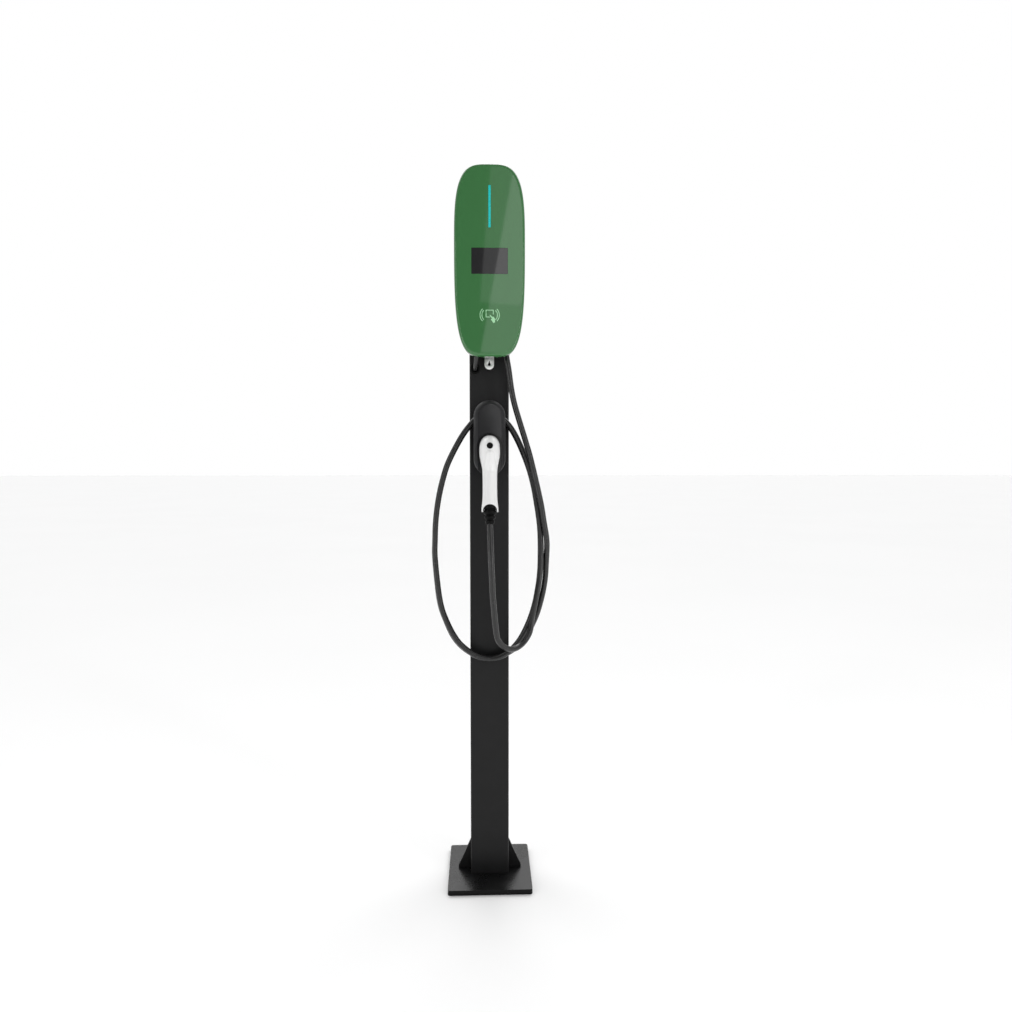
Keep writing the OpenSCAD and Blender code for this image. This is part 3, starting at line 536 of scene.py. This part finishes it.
TAB = brushed_metal("tab_stainless", (0.93, 0.93, 0.92), 0.34, (900, 40, 40))
BRASS = brushed_metal("contact_brass", (0.72, 0.55, 0.26), 0.28)
ZINC = brushed_metal("cast_zinc", (0.4, 0.41, 0.43), 0.42, (200, 200, 200))
GLOW = light_pipe("light_line", (0.0, 0.40, 0.375), 0.27)
INK = moulded_plastic("symbol_ink", (0.33, 0.62, 0.36), 0.5)
BOARD = circuit_board("board_green", (0.015, 0.09, 0.045))
DEVICE = moulded_plastic("device_grey", (0.6, 0.61, 0.58), 0.45)
TERMINAL = moulded_plastic("terminal_green", (0.13, 0.18, 0.14), 0.5)

NODE_PAINT = {
    PLATE: ["base_plate"],
    COLUMN: ["column", "column_gussets", "head_bracket"],
    CASING: ["column_cap", "rear_casing", "holder_base", "socket_liner", "charging_gland",
             "charging_gland_nut", "supply_gland", "supply_gland_nut", "display_module"],
    RUBBER: ["column_grommet", "casing_gasket", "nose_seal", "cable_boot"],
    STEEL: ["rivet_nuts", "bracket_screws", "cover_screws", "lock_tab_rivets", "holder_screws",
            "shield_screws", "connector_screws", "latch_pin", "cable_clamp", "component_plate",
            "button_spring"],
    GREEN: ["front_cover"],
    TAB: ["lock_tab"],
    GLOW: ["light_bar"],
    GLASS: ["screen_window"],
    INK: ["tap_symbol"],
    BOARD: ["light_board", "card_antenna", "main_board"],
    DEVICE: ["contactor"],
    NOSE: ["current_sensor", "button_switch", "connector_nose"],
    TERMINAL: ["terminal_block"],
    BRASS: ["earth_stud", "contact_sleeves", "lead_cores"],
    LEAD: ["supply_lead"],
    SHEATH: ["charging_cable", "cable_end"],
    SHIELD: ["holder_shield"],
    WHITE: ["connector_left_shell", "connector_right_shell"],
    BLACK_GLOSS: ["release_button"],
    ZINC: ["latch_lever"],
}
BODY_OF = {n: b for b, names in frame["record"]["behaviour"]["bodies"].items() for n in names}
PAINT_OF = {n: paint for paint, names in NODE_PAINT.items() for n in names}


def finished(piece, node):
    """Gives a new piece the paint, slot and body of the CAD node that it stands for."""
    piece.data.materials.clear()
    piece.data.materials.append(PAINT_OF[node])
    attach(piece, BODY_OF[node])
    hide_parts(node)


def stretched(piece, node, first, second, start, end):
    """As finished, for a piece that follows the first body up to start and the second from end."""
    piece.data.materials.append(PAINT_OF[node])
    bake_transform(piece, first, second, start, end)
    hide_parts(node)


def dress(node, edge):
    """Paints a CAD piece and rounds its edges, edge in millimetres."""
    piece = NODES[node]
    piece.data.materials.clear()
    piece.data.materials.append(PAINT_OF[node])
    weld = piece.modifiers.new("weld", "WELD")
    weld.merge_threshold = 0.00002
    bevel = piece.modifiers.new("bevel", "BEVEL")
    bevel.width = edge * MM
    bevel.segments = 3
    bevel.limit_method = "ANGLE"
    bevel.angle_limit = math.radians(40)
    bevel.harden_normals = True
    even = piece.modifiers.new("even", "WEIGHTED_NORMAL")
    even.keep_sharp = True


FINE_NODES = ["button_spring", "lead_cores", "charging_cable", "cable_end", "contact_sleeves"]
BOLD_NODES = ["base_plate", "column", "column_gussets", "head_bracket", "holder_base"]
FINE_EDGE, PLAIN_EDGE, BOLD_EDGE = 0.15, 0.35, 0.9
EDGE_OF = {**dict.fromkeys(FINE_NODES, FINE_EDGE), **dict.fromkeys(BOLD_NODES, BOLD_EDGE)}
for node in NODES:
    dress(node, EDGE_OF.get(node, PLAIN_EDGE))


# ---------- camera ----------

CAMERA_AT = Vector((-0.0176, -1.659, 0.9866))
YAW, TILT = math.radians(1.97), math.radians(3.40)
SENSOR_MM, LENS_MM = 36, 25.09
camera_data = bpy.data.cameras.new("camera")
camera_data.sensor_width = SENSOR_MM
camera_data.lens = LENS_MM
camera = bpy.data.objects.new("camera", camera_data)
camera.location = CAMERA_AT
camera.rotation_euler = (math.pi / 2 - TILT, 0, -YAW)
SCENE.collection.objects.link(camera)
SCENE.camera = camera


# ---------- the charging cable ----------

CABLE_D = 0.013
RING_STEP = 0.006  # from one ring of a tube to the next
# The CAD's route: down from the gland, two turns over the neck, and up into the boot, in metres
CABLE_ROUTE = [
    (0.038, -0.066, 1.255), (0.038, -0.066, 1.23), (0.043, -0.069, 1.198), (0.054, -0.073, 1.128),
    (0.08, -0.077, 1.04), (0.093, -0.077, 0.995), (0.114, -0.077, 0.905), (0.122, -0.074, 0.86),
    (0.13, -0.066, 0.812), (0.13, -0.055, 0.765), (0.128, -0.046, 0.72), (0.12, -0.042, 0.675),
    (0.106, -0.041, 0.63), (0.079, -0.041, 0.58), (0.044, -0.041, 0.549), (0, -0.041, 0.536),
    (-0.045, -0.042, 0.55), (-0.079, -0.042, 0.581), (-0.102, -0.042, 0.628),
    (-0.116, -0.042, 0.676), (-0.125, -0.043, 0.767), (-0.125, -0.043, 0.813),
    (-0.123, -0.044, 0.858), (-0.117, -0.044, 0.905), (-0.107, -0.044, 0.95),
    (-0.094, -0.045, 0.99), (-0.069, -0.045, 1.039), (-0.048, -0.045, 1.07),
    (-0.026, -0.045, 1.091), (0, -0.045, 1.098), (0.026, -0.045, 1.091), (0.047, -0.045, 1.07),
    (0.065, -0.045, 1.039), (0.084, -0.046, 0.994), (0.097, -0.046, 0.953), (0.107, -0.047, 0.904),
    (0.115, -0.048, 0.847), (0.117, -0.049, 0.79), (0.115, -0.051, 0.732), (0.106, -0.053, 0.675),
    (0.092, -0.054, 0.628), (0.071, -0.055, 0.585), (0.048, -0.056, 0.558), (0.025, -0.056, 0.543),
    (0, -0.056, 0.538), (-0.025, -0.056, 0.543), (-0.049, -0.056, 0.557), (-0.076, -0.056, 0.584),
    (-0.1, -0.056, 0.63), (-0.114, -0.057, 0.678), (-0.124, -0.057, 0.769), (-0.124, -0.058, 0.814),
    (-0.122, -0.058, 0.859), (-0.116, -0.058, 0.905), (-0.106, -0.058, 0.95),
    (-0.093, -0.059, 0.99), (-0.068, -0.059, 1.039), (-0.047, -0.059, 1.07),
    (-0.026, -0.059, 1.091), (0, -0.059, 1.098), (0.026, -0.059, 1.091), (0.047, -0.059, 1.07),
    (0.065, -0.059, 1.039), (0.084, -0.06, 0.994), (0.097, -0.06, 0.953), (0.106, -0.061, 0.904),
    (0.114, -0.062, 0.847), (0.117, -0.064, 0.79), (0.114, -0.065, 0.732), (0.105, -0.068, 0.678),
    (0.096, -0.069, 0.633), (0.091, -0.074, 0.604), (0.075, -0.088, 0.583), (0.054, -0.108, 0.575),
    (0.033, -0.128, 0.583), (0.017, -0.142, 0.604), (0.012, -0.147, 0.633), (0.009, -0.15, 0.664),
    (0.006, -0.153, 0.7), (0.004, -0.156, 0.741), (0.002, -0.157, 0.79), (0.001, -0.153, 0.825),
    (0, -0.147, 0.856), (0, -0.145, 0.868),
]
BOOT_FOOT = v(0, -147, 857)


def charging_cable():
    """The sheath up to the boot's foot, with the points on its middle line and its length."""
    path = even_path(CABLE_ROUTE, RING_STEP)
    # The last few points reach into the boot, so the sheath ends just below the boot's foot
    near_end = len(path) - 8
    path = [p for i, p in enumerate(path) if i < near_end or p.z < BOOT_FOOT.z - 0.002]
    path.append(BOOT_FOOT - v(0, 0, 0.5))
    sheath = tube("charging_cable_sheath", path, CABLE_D / 2)
    stretched(sheath, "charging_cable", "post", "connector", (0, -0.084, 0.7), (0, -0.146, 0.7))
    return sheath, path, sum((b - a).length for a, b in zip(path, path[1:]))


cable, cable_path, cable_length = charging_cable()


# ---------- head ----------

# Sizes in millimetres, from the CAD pieces' boxes
cover_low, cover_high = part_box("front_cover")
casing_low, casing_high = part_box("rear_casing")
HEAD_Z = 1438.5  # where the head is widest
HEAD_W = (cover_high.x - cover_low.x) / MM
HEAD_UP = cover_high.z / MM - HEAD_Z
HEAD_DOWN = HEAD_Z - cover_low.z / MM
FRONT_Y = cover_low.y / MM
COVER_BACK_Y = cover_high.y / MM
BAY_Z = casing_low.z / MM
CASING_BACK_Y = casing_high.y / MM
CASING_FRONT_Y = casing_low.y / MM
COVER_SCREWS = [(s * x, z) for x, z in ((46, 1560), (54, 1440), (46, 1284)) for s in SIDES]
# How square the outline is, across and up: 2 is an ellipse
UPPER_POWERS, LOWER_POWERS = (3.6, 3.6), (4.6, 3)


def head_ring(y, inset, low=0.0):
    """Outline of the head at depth y, drawn in by inset and cut off flat below low."""
    ring, steps = [], 240
    for j in range(steps):
        a = 2 * math.pi * j / steps
        upper = math.sin(a) >= 0
        power_x, power_z = UPPER_POWERS if upper else LOWER_POWERS
        x = (HEAD_W / 2 - inset) * power(math.cos(a), 2 / power_x)
        tall = (HEAD_UP if upper else HEAD_DOWN) - inset
        z = HEAD_Z + tall * power(math.sin(a), 2 / power_z)
        ring.append(v(x, y, max(z, low)))
    return ring


def window_outline(node, corner, grow=0.0):
    """A rounded rectangle over the node's front, larger all round by grow."""
    low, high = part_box(node)
    wide, tall = (high.x - low.x) / MM + 2 * grow, (high.z - low.z) / MM + 2 * grow
    return rounded_square(wide, tall, corner, 0, (low.z + high.z) / 2 / MM)


def front_cover():
    """A hollow cover: rings from inside it, round its back rim, to the middle of its flat front."""
    round_depth, turn, gap = 8, 6.5, 0.2
    rings = [(FRONT_Y + 3, 14), (FRONT_Y + 4, 9.5), (FRONT_Y + 8, 4.2), (FRONT_Y + 16, 3.0)]
    rings += [(COVER_BACK_Y, 6.3), (COVER_BACK_Y, 3.9)]
    rings += [(COVER_BACK_Y - 0.4, 3.5), (COVER_BACK_Y - 18, 0.8)]
    rings += [(FRONT_Y + round_depth - d, t) for d, t in quarter(turn, round_depth)]
    rings += [(FRONT_Y, turn + 0.5), (FRONT_Y, turn + 12), (FRONT_Y, 50)]
    cover = skin("front_cover_shell", [head_ring(y, inset) for y, inset in rings])
    openings = [
        plate("opening", [window_outline(node, 1.2, gap)], FRONT_Y - 2, FRONT_Y + 12, 0)
        for node in ("screen_window", "light_bar")
    ]
    finished(smooth(cut(cover, *openings)), "front_cover")


def screen_and_light():
    """Two flat panes. They are flat shaded, so that they reflect as one plane."""
    for node, edge in (("screen_window", 0.25), ("light_bar", 0.3)):
        low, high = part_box(node)
        piece = plate(node + "_pane", [window_outline(node, 1.0)], low.y / MM, high.y / MM, edge)
        piece.data.shade_flat()
        finished(piece, node)


def tap_symbol():
    """Two waves each side of a card, and a pointing hand over the card's corner."""
    middle, line = 1303, 1.6
    loops = []
    for side, start in ((1, -45), (-1, 135)):
        for r in (14, 18):
            outer = arc(side * 2.5, middle, r + line / 2, start, start + 90, 24)
            inner = arc(side * 2.5, middle, r - line / 2, start, start + 90, 24)
            loops.append(outer + inner[::-1])
    tag = [(-8.5, 11), (8.5, 11), (8.5, 0.4), (6.9, 1.8), (6.9, 9.4), (-6.9, 9.4), (-6.9, -3.4)]
    tag += [(0.6, -3.4), (0.2, -5), (-8.5, -5)]
    hand = [(0, 0.2), (1.5, 0.2), (6, -3.8), (8.2, -3.6), (11.6, -8.4), (11.4, -15), (8.2, -17)]
    hand += [(5.4, -13.4), (2.6, -9.6), (3.4, -8.2), (5.2, -8.2), (0.2, -1.4)]
    loops += [[(x, middle + up) for x, up in shape] for shape in (tag, hand)]
    finished(plate("tap_symbol_ink", loops, FRONT_Y - 0.12, FRONT_Y + 0.02, 0.03), "tap_symbol")


def rear_casing():
    """The casing from the gasket to its back, with a bore for each screw of the cover."""
    rings = [(CASING_FRONT_Y, 7.5), (CASING_FRONT_Y + 0.5, 7.1), (CASING_BACK_Y - 12, 9.2)]
    rings += [(CASING_BACK_Y - 7 + d, 9.6 + t) for d, t in quarter(6, 7, 8)]
    rings = [head_ring(y, inset, BAY_Z) for y, inset in rings]
    rings += [head_ring(CASING_BACK_Y, 17, BAY_Z + 3), head_ring(CASING_BACK_Y, 40, BAY_Z + 20)]
    bores = [bore("bore", 3.9, 40, x, CASING_FRONT_Y + 15, z) for x, z in COVER_SCREWS]
    casing = cut(skin("rear_casing_shell", rings), *bores)
    bevelled(casing, 0.8)
    finished(smooth(casing), "rear_casing")


# ---------- holder ----------

shield_low, shield_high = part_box("holder_shield")
SHIELD_R = (shield_high.x - shield_low.x) / 2 / MM
SHIELD_TOP_Z = shield_high.z / MM - SHIELD_R  # middles of the shield's two round ends
SHIELD_LOW_Z = shield_low.z / MM + SHIELD_R
SHIELD_FRONT_Y = shield_low.y / MM
SHIELD_BACK_Y = -68.0
RECESS_Y = -85.0  # the recess's floor, 1 mm behind the connector's shells
RECESS_R, RECESS_LOW_Z = 28.5, 940
BUTTON_Z = 1026.3  # the button's axis, and the middle of the recess's round top
seal_low, seal_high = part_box("nose_seal")
NOSE_Z = (seal_low.z + seal_high.z) / 2 / MM


def shield_ring(y, inset):
    """Outline of the shield: straight sides between two half circles."""
    r = SHIELD_R - inset
    ring = arc(0, SHIELD_TOP_Z, r, 0, 180, 64) + arc(0, SHIELD_LOW_Z, r, 180, 360, 64)
    return [v(x, y, z) for x, z in ring]


def holder_shield():
    """A domed shield with a recess for the connector, a hole for the liner and two for screws.

    Only the faces that look to the front are glossy. The rest is dull.
    """
    dome_depth, dome_turn, clear_y = 21, 11, SHIELD_FRONT_Y - 1
    rings = [(SHIELD_BACK_Y, 3), (SHIELD_BACK_Y, 0.6), (SHIELD_BACK_Y - 0.6, 0)]
    rings += [(SHIELD_FRONT_Y + dome_depth - d, t) for d, t in quarter(dome_turn, dome_depth, 14)]
    rings += [(SHIELD_FRONT_Y, 12), (SHIELD_FRONT_Y, 24)]
    shield = skin("holder_shield_shell", [shield_ring(y, inset) for y, inset in rings])
    foot = RECESS_R - 5
    recess = [(-foot, RECESS_LOW_Z), (foot, RECESS_LOW_Z)] + arc(0, BUTTON_Z, RECESS_R, 0, 180, 48)
    liner = arc(0, NOSE_Z, 23.8, 70.4, -250.4, 64) + [(-8, NOSE_Z + 31.2), (8, NOSE_Z + 31.2)]
    shield = cut(shield, plate("recess", [recess], clear_y, RECESS_Y, 0))
    liner_hole = plate("liner", [liner], clear_y, SHIELD_BACK_Y + 1, 0)
    shield = cut(shield, liner_hole, *[bore("screw", 3.2, 30, s * 8, -100, 992) for s in SIDES])
    bevelled(shield, 0.9)
    finished(smooth(shield, 40), "holder_shield")
    shield.data.materials.append(SHIELD_RIM)
    for face in shield.data.polygons:
        if face.normal.y > -0.96:
            face.material_index = 1


# ---------- connector ----------

# Sections of the connector's body from its foot up:
# [height, middle in depth, half width, half depth, corner power]
GUN_SECTIONS = [
    [884, -142, 18.2, 19, 2.2], [893, -140.5, 18, 19, 2.2], [905, -138.5, 16.6, 18.2, 2.2],
    [920, -136, 15.8, 17.8, 2.2], [940, -132.6, 15.7, 18, 2.2], [955, -129.5, 15.8, 18.8, 2.2],
    [966, -126, 16, 20.6, 2.2], [975, -120, 16.6, 25.5, 2.2], [985, -108, 18.6, 37.5, 2.3],
    [995, -99, 21, 47, 2.4], [1004, -96, 22.6, 50.5, 2.4], [1013, -95, 23.1, 51.8, 2.4],
    [1022, -95, 22.9, 51.6, 2.4], [1031, -95, 21.6, 49.5, 2.4], [1038, -95, 19, 45, 2.4],
    [1044, -95, 14.8, 38, 2.4], [1048, -95, 9, 28, 2.4], [1049.3, -95, 4, 15, 2.4],
]
MOUTH_Y = -86.0  # the shells end here, and the nose goes on
RIDGE_TOP_Z = 1006.5
RIDGE_HEIGHT = 3.0
SHELL_WALL = 2.5
BOOT_TILT = -9.6  # degrees
BOOT_BORE_R = 15.5


def ridge(x, z):
    """How far the handle's rounded upper end stands proud of the connector's head."""
    half = 11 + 6 * (1 - rise(z, 972, 1006))
    inside = half - (abs(x) if z < RIDGE_TOP_Z else math.hypot(x, z - RIDGE_TOP_Z))
    return RIDGE_HEIGHT * rise(inside, -0.5, 4.5) * rise(z, 966, 994)


def gun_form(name, inset, drop=0.0, steps=192, levels=110):
    """Smooth body of the connector, drawn in by inset and let down by drop.

    The ridge is left out where the body is drawn in.
    """
    rings = []
    for i in range(levels + 1):
        z, middle, wide, deep, p = on_curve(GUN_SECTIONS, (len(GUN_SECTIONS) - 1) * i / levels)
        wide, deep = max(wide - inset, 0.5), max(deep - inset, 1)
        ring = []
        for j in range(steps):
            a = 2 * math.pi * j / steps
            x = wide * power(math.cos(a), 2 / p)
            y = middle + deep * power(math.sin(a), 2 / p)
            if math.sin(a) < 0 and not inset:
                y -= ridge(x, z)
            ring.append(v(x, y, z - drop))
        rings.append(ring)
    return skin(name, rings)


def boot_place():
    """From about Z at the origin to the boot's foot, along the handle."""
    return Matrix.Translation(BOOT_FOOT) @ Matrix.Rotation(math.radians(BOOT_TILT), 4, "X")


def screw_hole(y, z):
    """A round block along +X, for a screw that goes in from the right."""
    place = Matrix.Translation(v(11.8, y, z)) @ Matrix.Rotation(math.pi / 2, 4, "Y")
    return placed(revolve("screw", [(3, 0), (3, 20)]), place)


def connector_shell(node, side):
    """One half of the body, hollow and open where other pieces go in."""
    boot = [(BOOT_BORE_R, -10), (BOOT_BORE_R, 44.5), (14.4, 44.5), (14.4, 51)]
    # What is taken off: all but this half's own side, with a fine gap between the two
    half_x = (-60, 0.04) if side > 0 else (-0.04, 60)
    cutters = [
        gun_form("inner", SHELL_WALL, SHELL_WALL, 96, 50),
        block("mouth", (-30, MOUTH_Y, 960), (30, -30, 1060)),
        bore("nose", 20.4, 30, 0, -100, NOSE_Z),
        block("lever", (-4.4, -103, 1038), (4.4, -80, 1060)),
        bore("button", 6.8, 20, 0, -156, BUTTON_Z),
        placed(revolve("boot", boot), boot_place()),
        bore("notch", 15.4, 59, 0, -200, 886),
        block("half", (half_x[0], -200, 860), (half_x[1], -20, 1070)),
    ]
    if side > 0:
        cutters += [screw_hole(y, z) for y, z in ((-123, 988), (-129, 957), (-134, 934))]
    shell = gun_form(node + "_moulding", 0)
    for cutter in cutters:
        shell = cut(shell, cutter)
    bevelled(shell, 0.3, 2, 45)
    finished(smooth(shell, 40), node)


def cable_boot():
    """A tapered boot with ribs, round the end of the cable."""
    outline = [
        (6.55, 0.6), (8.2, 0.2), (9.2, 1.2), (10.1, 5), (10.1, 7.2), (8.4, 8.6), (8.4, 10.4),
        (11.2, 11.8), (12.2, 14), (12.2, 17), (9.8, 18.6), (9.8, 20.4), (13, 22), (13.8, 25),
        (13.8, 29.2), (11.4, 30.8), (11.4, 32.6), (14.8, 34.2), (15.2, 36), (15.2, 41), (14, 46),
        (11, 50), (6.55, 50),
    ]
    bore_line = softened([(6.55, 50), (6.55, 0.6)])
    boot = revolve("cable_boot_moulding", softened(outline) + bore_line, 64)
    finished(smooth(placed(boot, boot_place()), 50), "cable_boot")


def release_button():
    """A round cap on a stem, with a foot behind it that reaches down to the latch lever."""
    low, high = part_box("release_button")
    outline = [
        (0.01, 0.5), (3.5, 0.3), (5.4, 0), (6.5, 0.4), (6.5, 11.4), (8, 11.6), (8, 13), (2.4, 13),
        (2.4, 22.5), (0.01, 22.5),
    ]
    cap = revolve("button", softened(outline, 0.5), 64)
    foot_y = high.y / MM - 3.5
    button = joined("release_button_moulding", [
        placed(cap, along_y(0, low.y / MM, BUTTON_Z)),
        plate("foot", [rounded_square(6, 23, 0.8, 0, 1016.7)], foot_y, foot_y + 1.5, 0.3),
        plate("nose", [rounded_square(6, 3, 0.8, 0, 1009)], foot_y + 1, foot_y + 3.4, 0.3),
    ])
    finished(smooth(button, 40), "release_button")


def button_spring():
    """A coil that shortens as the button goes in. Its other end rests on the connector's rib."""
    low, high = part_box("button_spring")
    wire, turns, steps = 0.4 * MM, 2.5, 24
    coil, middle_z = (high.x - low.x) / 2 - wire, (high.z + low.z) / 2
    front, back = low.y + wire, high.y - wire
    path = []
    for i in range(int(turns * steps) + 1):
        a = 2 * math.pi * i / steps
        along = front + (back - front) * i / (turns * steps)
        path.append(Vector((coil * math.cos(a), along, BUTTON_Z * MM + coil * math.sin(a))))
    spring = tube("button_spring_coil", path, wire, 12)
    ends = (0, front, middle_z), (0, back, middle_z)
    stretched(spring, "button_spring", "release_button", "connector", *ends)


# ---------- supply lead and lock tab ----------

LEAD_D = 0.009
# The CAD's route: from the gland into the column's opening, and down to its foot, in metres
LEAD_ROUTE = [
    (-0.029, -0.062, 1.255), (-0.029, -0.062, 1.247), (-0.029, -0.062, 1.237),
    (-0.0295, -0.06, 1.225), (-0.0305, -0.054, 1.214), (-0.0315, -0.046, 1.207),
    (-0.032, -0.037, 1.2035), (-0.032, -0.027, 1.2025), (-0.032, -0.016, 1.2005),
    (-0.032, -0.005, 1.194), (-0.032, 0.002, 1.184), (-0.032, 0.005, 1.17), (-0.031, 0.005, 1.15),
    (-0.03, 0.002, 1.12), (-0.03, -0.004, 1.08), (-0.03, -0.008, 1.03), (-0.03, -0.008, 0.8),
    (-0.03, -0.008, 0.6), (-0.03, -0.008, 0.4), (-0.03, -0.008, 0.2), (-0.03, -0.008, 0.06),
]


def supply_lead():
    """The sheath from the gland to the foot of the column."""
    lead = tube("supply_lead_sheath", even_path(LEAD_ROUTE, RING_STEP), LEAD_D / 2)
    finished(lead, "supply_lead")


def lock_tab():
    """A bent steel strip: a leg with a keyhole, and a foot with two rivet holes."""
    low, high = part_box("lock_tab")
    half, low_z, top_z = (high.x - low.x) / 2 / MM, low.z / MM, high.z / MM
    front_y, back_y = low.y / MM, high.y / MM
    outline = arc(0, low_z + half, half, 180, 360, 32)
    outline += [(half, top_z - 1.2), (half - 0.6, top_z - 0.6)]
    outline += [(0.6 - half, top_z - 0.6), (-half, top_z - 1.2)]
    keyhole = arc(0, low_z + 11, 3, 155, 385, 24) + [(0.6, low_z + 19), (-0.6, low_z + 19)]
    foot = [rounded_square(2 * half, back_y - front_y, 1.5, 0, (low.y + high.y) / 2 / MM)]
    foot += [circle(1.7, s * 6, front_y + 9) for s in SIDES]
    tab = joined("lock_tab_plate", [
        plate("leg", [outline, keyhole], front_y, front_y + 3, 0.5),
        plate("foot", foot, top_z - 3, top_z, 0.4, "z"),
    ])
    finished(tab, "lock_tab")


front_cover()
screen_and_light()
tap_symbol()
rear_casing()
holder_shield()
connector_shell("connector_left_shell", -1)
connector_shell("connector_right_shell", 1)
cable_boot()
release_button()
button_spring()
supply_lead()
lock_tab()


# ---------- lights, floor and background ----------


def light_panel(name, corner, right, up, radiance):
    """A flat soft light from its lower left corner and its two sides, facing the object."""
    corner, right, up = Vector(corner), Vector(right), Vector(up)
    data = bpy.data.lights.new(name, "AREA")
    data.shape = "RECTANGLE"
    data.size, data.size_y = right.length, up.length
    data.energy = radiance * math.pi * right.length * up.length
    panel = bpy.data.objects.new(name, data)
    SCENE.collection.objects.link(panel)
    turn = Matrix((right.normalized(), up.normalized(), right.cross(up).normalized())).transposed()
    panel.matrix_world = Matrix.Translation(corner + (right + up) / 2) @ turn.to_4x4()


def light_card(name, y, foot, head, width, radiance, stretch=0.0):
    """A tilted card behind the camera, whose left edge runs from foot to head, both [x, z]."""
    low, high = Vector((foot[0], y, foot[1])), Vector((head[0], y, head[1]))
    edge = high - low
    right = Vector((edge.z, 0, -edge.x)).normalized() * width
    light_panel(name, low, right, edge * (1 + stretch), radiance)


def soft_sun(name, turn, strength):
    """A broad soft light from far off: turn is counted from straight behind, in degrees."""
    height, breadth = 50, 32
    data = bpy.data.lights.new(name, "SUN")
    data.energy = strength
    data.angle = math.radians(breadth)
    sun = bpy.data.objects.new(name, data)
    SCENE.collection.objects.link(sun)
    sun.rotation_euler = (math.radians(90 - height), 0, math.radians(180 - turn))


def pale_floor():
    """A plain pale floor with faint clouding."""
    reach = 60.0
    corners = [(-reach, -reach, 0), (reach, -reach, 0), (reach, reach, 0), (-reach, reach, 0)]
    mesh = bpy.data.meshes.new("floor")
    mesh.from_pydata(corners, [], [[0, 1, 2, 3]])
    floor = link("floor", mesh)
    paint = Paint("floor_pale", (0.91, 0.91, 0.91), 0.7)
    paint.tint(paint.ranged(paint.noise(0.6, 2), 0.4, 0.6, 0, 0.5), (0.895, 0.895, 0.895))
    mesh.materials.append(paint.material)


def studio_world():
    """A white backdrop that lights the scene softly."""
    world = bpy.data.worlds.new("studio")
    SCENE.world = world
    world.use_nodes = True
    nodes, links = world.node_tree.nodes, world.node_tree.links
    backdrop = nodes["Background"]
    backdrop.inputs["Color"].default_value = (1, 1, 1, 1)
    lit = nodes.new("ShaderNodeBackground")
    split = nodes.new("ShaderNodeSeparateXYZ")
    links.new(nodes.new("ShaderNodeTexCoord").outputs["Generated"], split.inputs["Vector"])
    # Dark in front of the object, bright behind it, and a little brighter high up
    across = map_range(nodes, links, split.outputs["Y"], -0.9, 0.1, 0.12, 0.85, "SMOOTHSTEP")
    upward = map_range(nodes, links, split.outputs["Z"], 0.2, 0.9, 1.0, 1.15, "SMOOTHSTEP")
    product = nodes.new("ShaderNodeMath")
    product.operation = "MULTIPLY"
    links.new(across, product.inputs[0])
    links.new(upward, product.inputs[1])
    links.new(product.outputs["Value"], lit.inputs["Strength"])
    mix = nodes.new("ShaderNodeMixShader")
    links.new(nodes.new("ShaderNodeLightPath").outputs["Is Camera Ray"], mix.inputs["Fac"])
    links.new(lit.outputs["Background"], mix.inputs[1])
    links.new(backdrop.outputs["Background"], mix.inputs[2])
    links.new(mix.outputs["Shader"], nodes["World Output"].inputs["Surface"])


def lights():
    """Soft cards, strips and suns."""
    # Cards whose edges show in the gloss: two on the cover, the others on the shield
    light_card("card_bright", -3.0, (-0.027, 1.65), (0.178, 2.77), 1.8, 1.25, 0.15)
    light_card("card_faint", -3.1, (-0.027, 2.0), (0.043, 2.844), 1.9, 0.65, 0.2)
    light_card("card_low", -2.9, (0.002, 1.3), (0.066, 1.45), 1.5, 1.15, 0.3)
    light_card("card_side", -2.9, (0.06, 0.85), (0.06, 1.3), 1.5, 1.15)
    # Tall narrow lights that draw the lines along round pieces
    light_panel("strip_left", (-2.25, -1.82, 0.1), (0.2, -0.14, 0), (0, 0, 2.2), 8.0)
    light_panel("strip_right", (2.05, -1.96, 0.1), (0.2, 0.14, 0), (0, 0, 2.2), 9.0)
    soft_sun("sun_left", -52, 0.5)
    soft_sun("sun_right", 48, 0.55)
    soft_sun("sun_back", 0, 0.75)


pale_floor()
studio_world()
lights()
SCENE.view_settings.view_transform = "Standard"
SCENE.view_settings.look = "None"
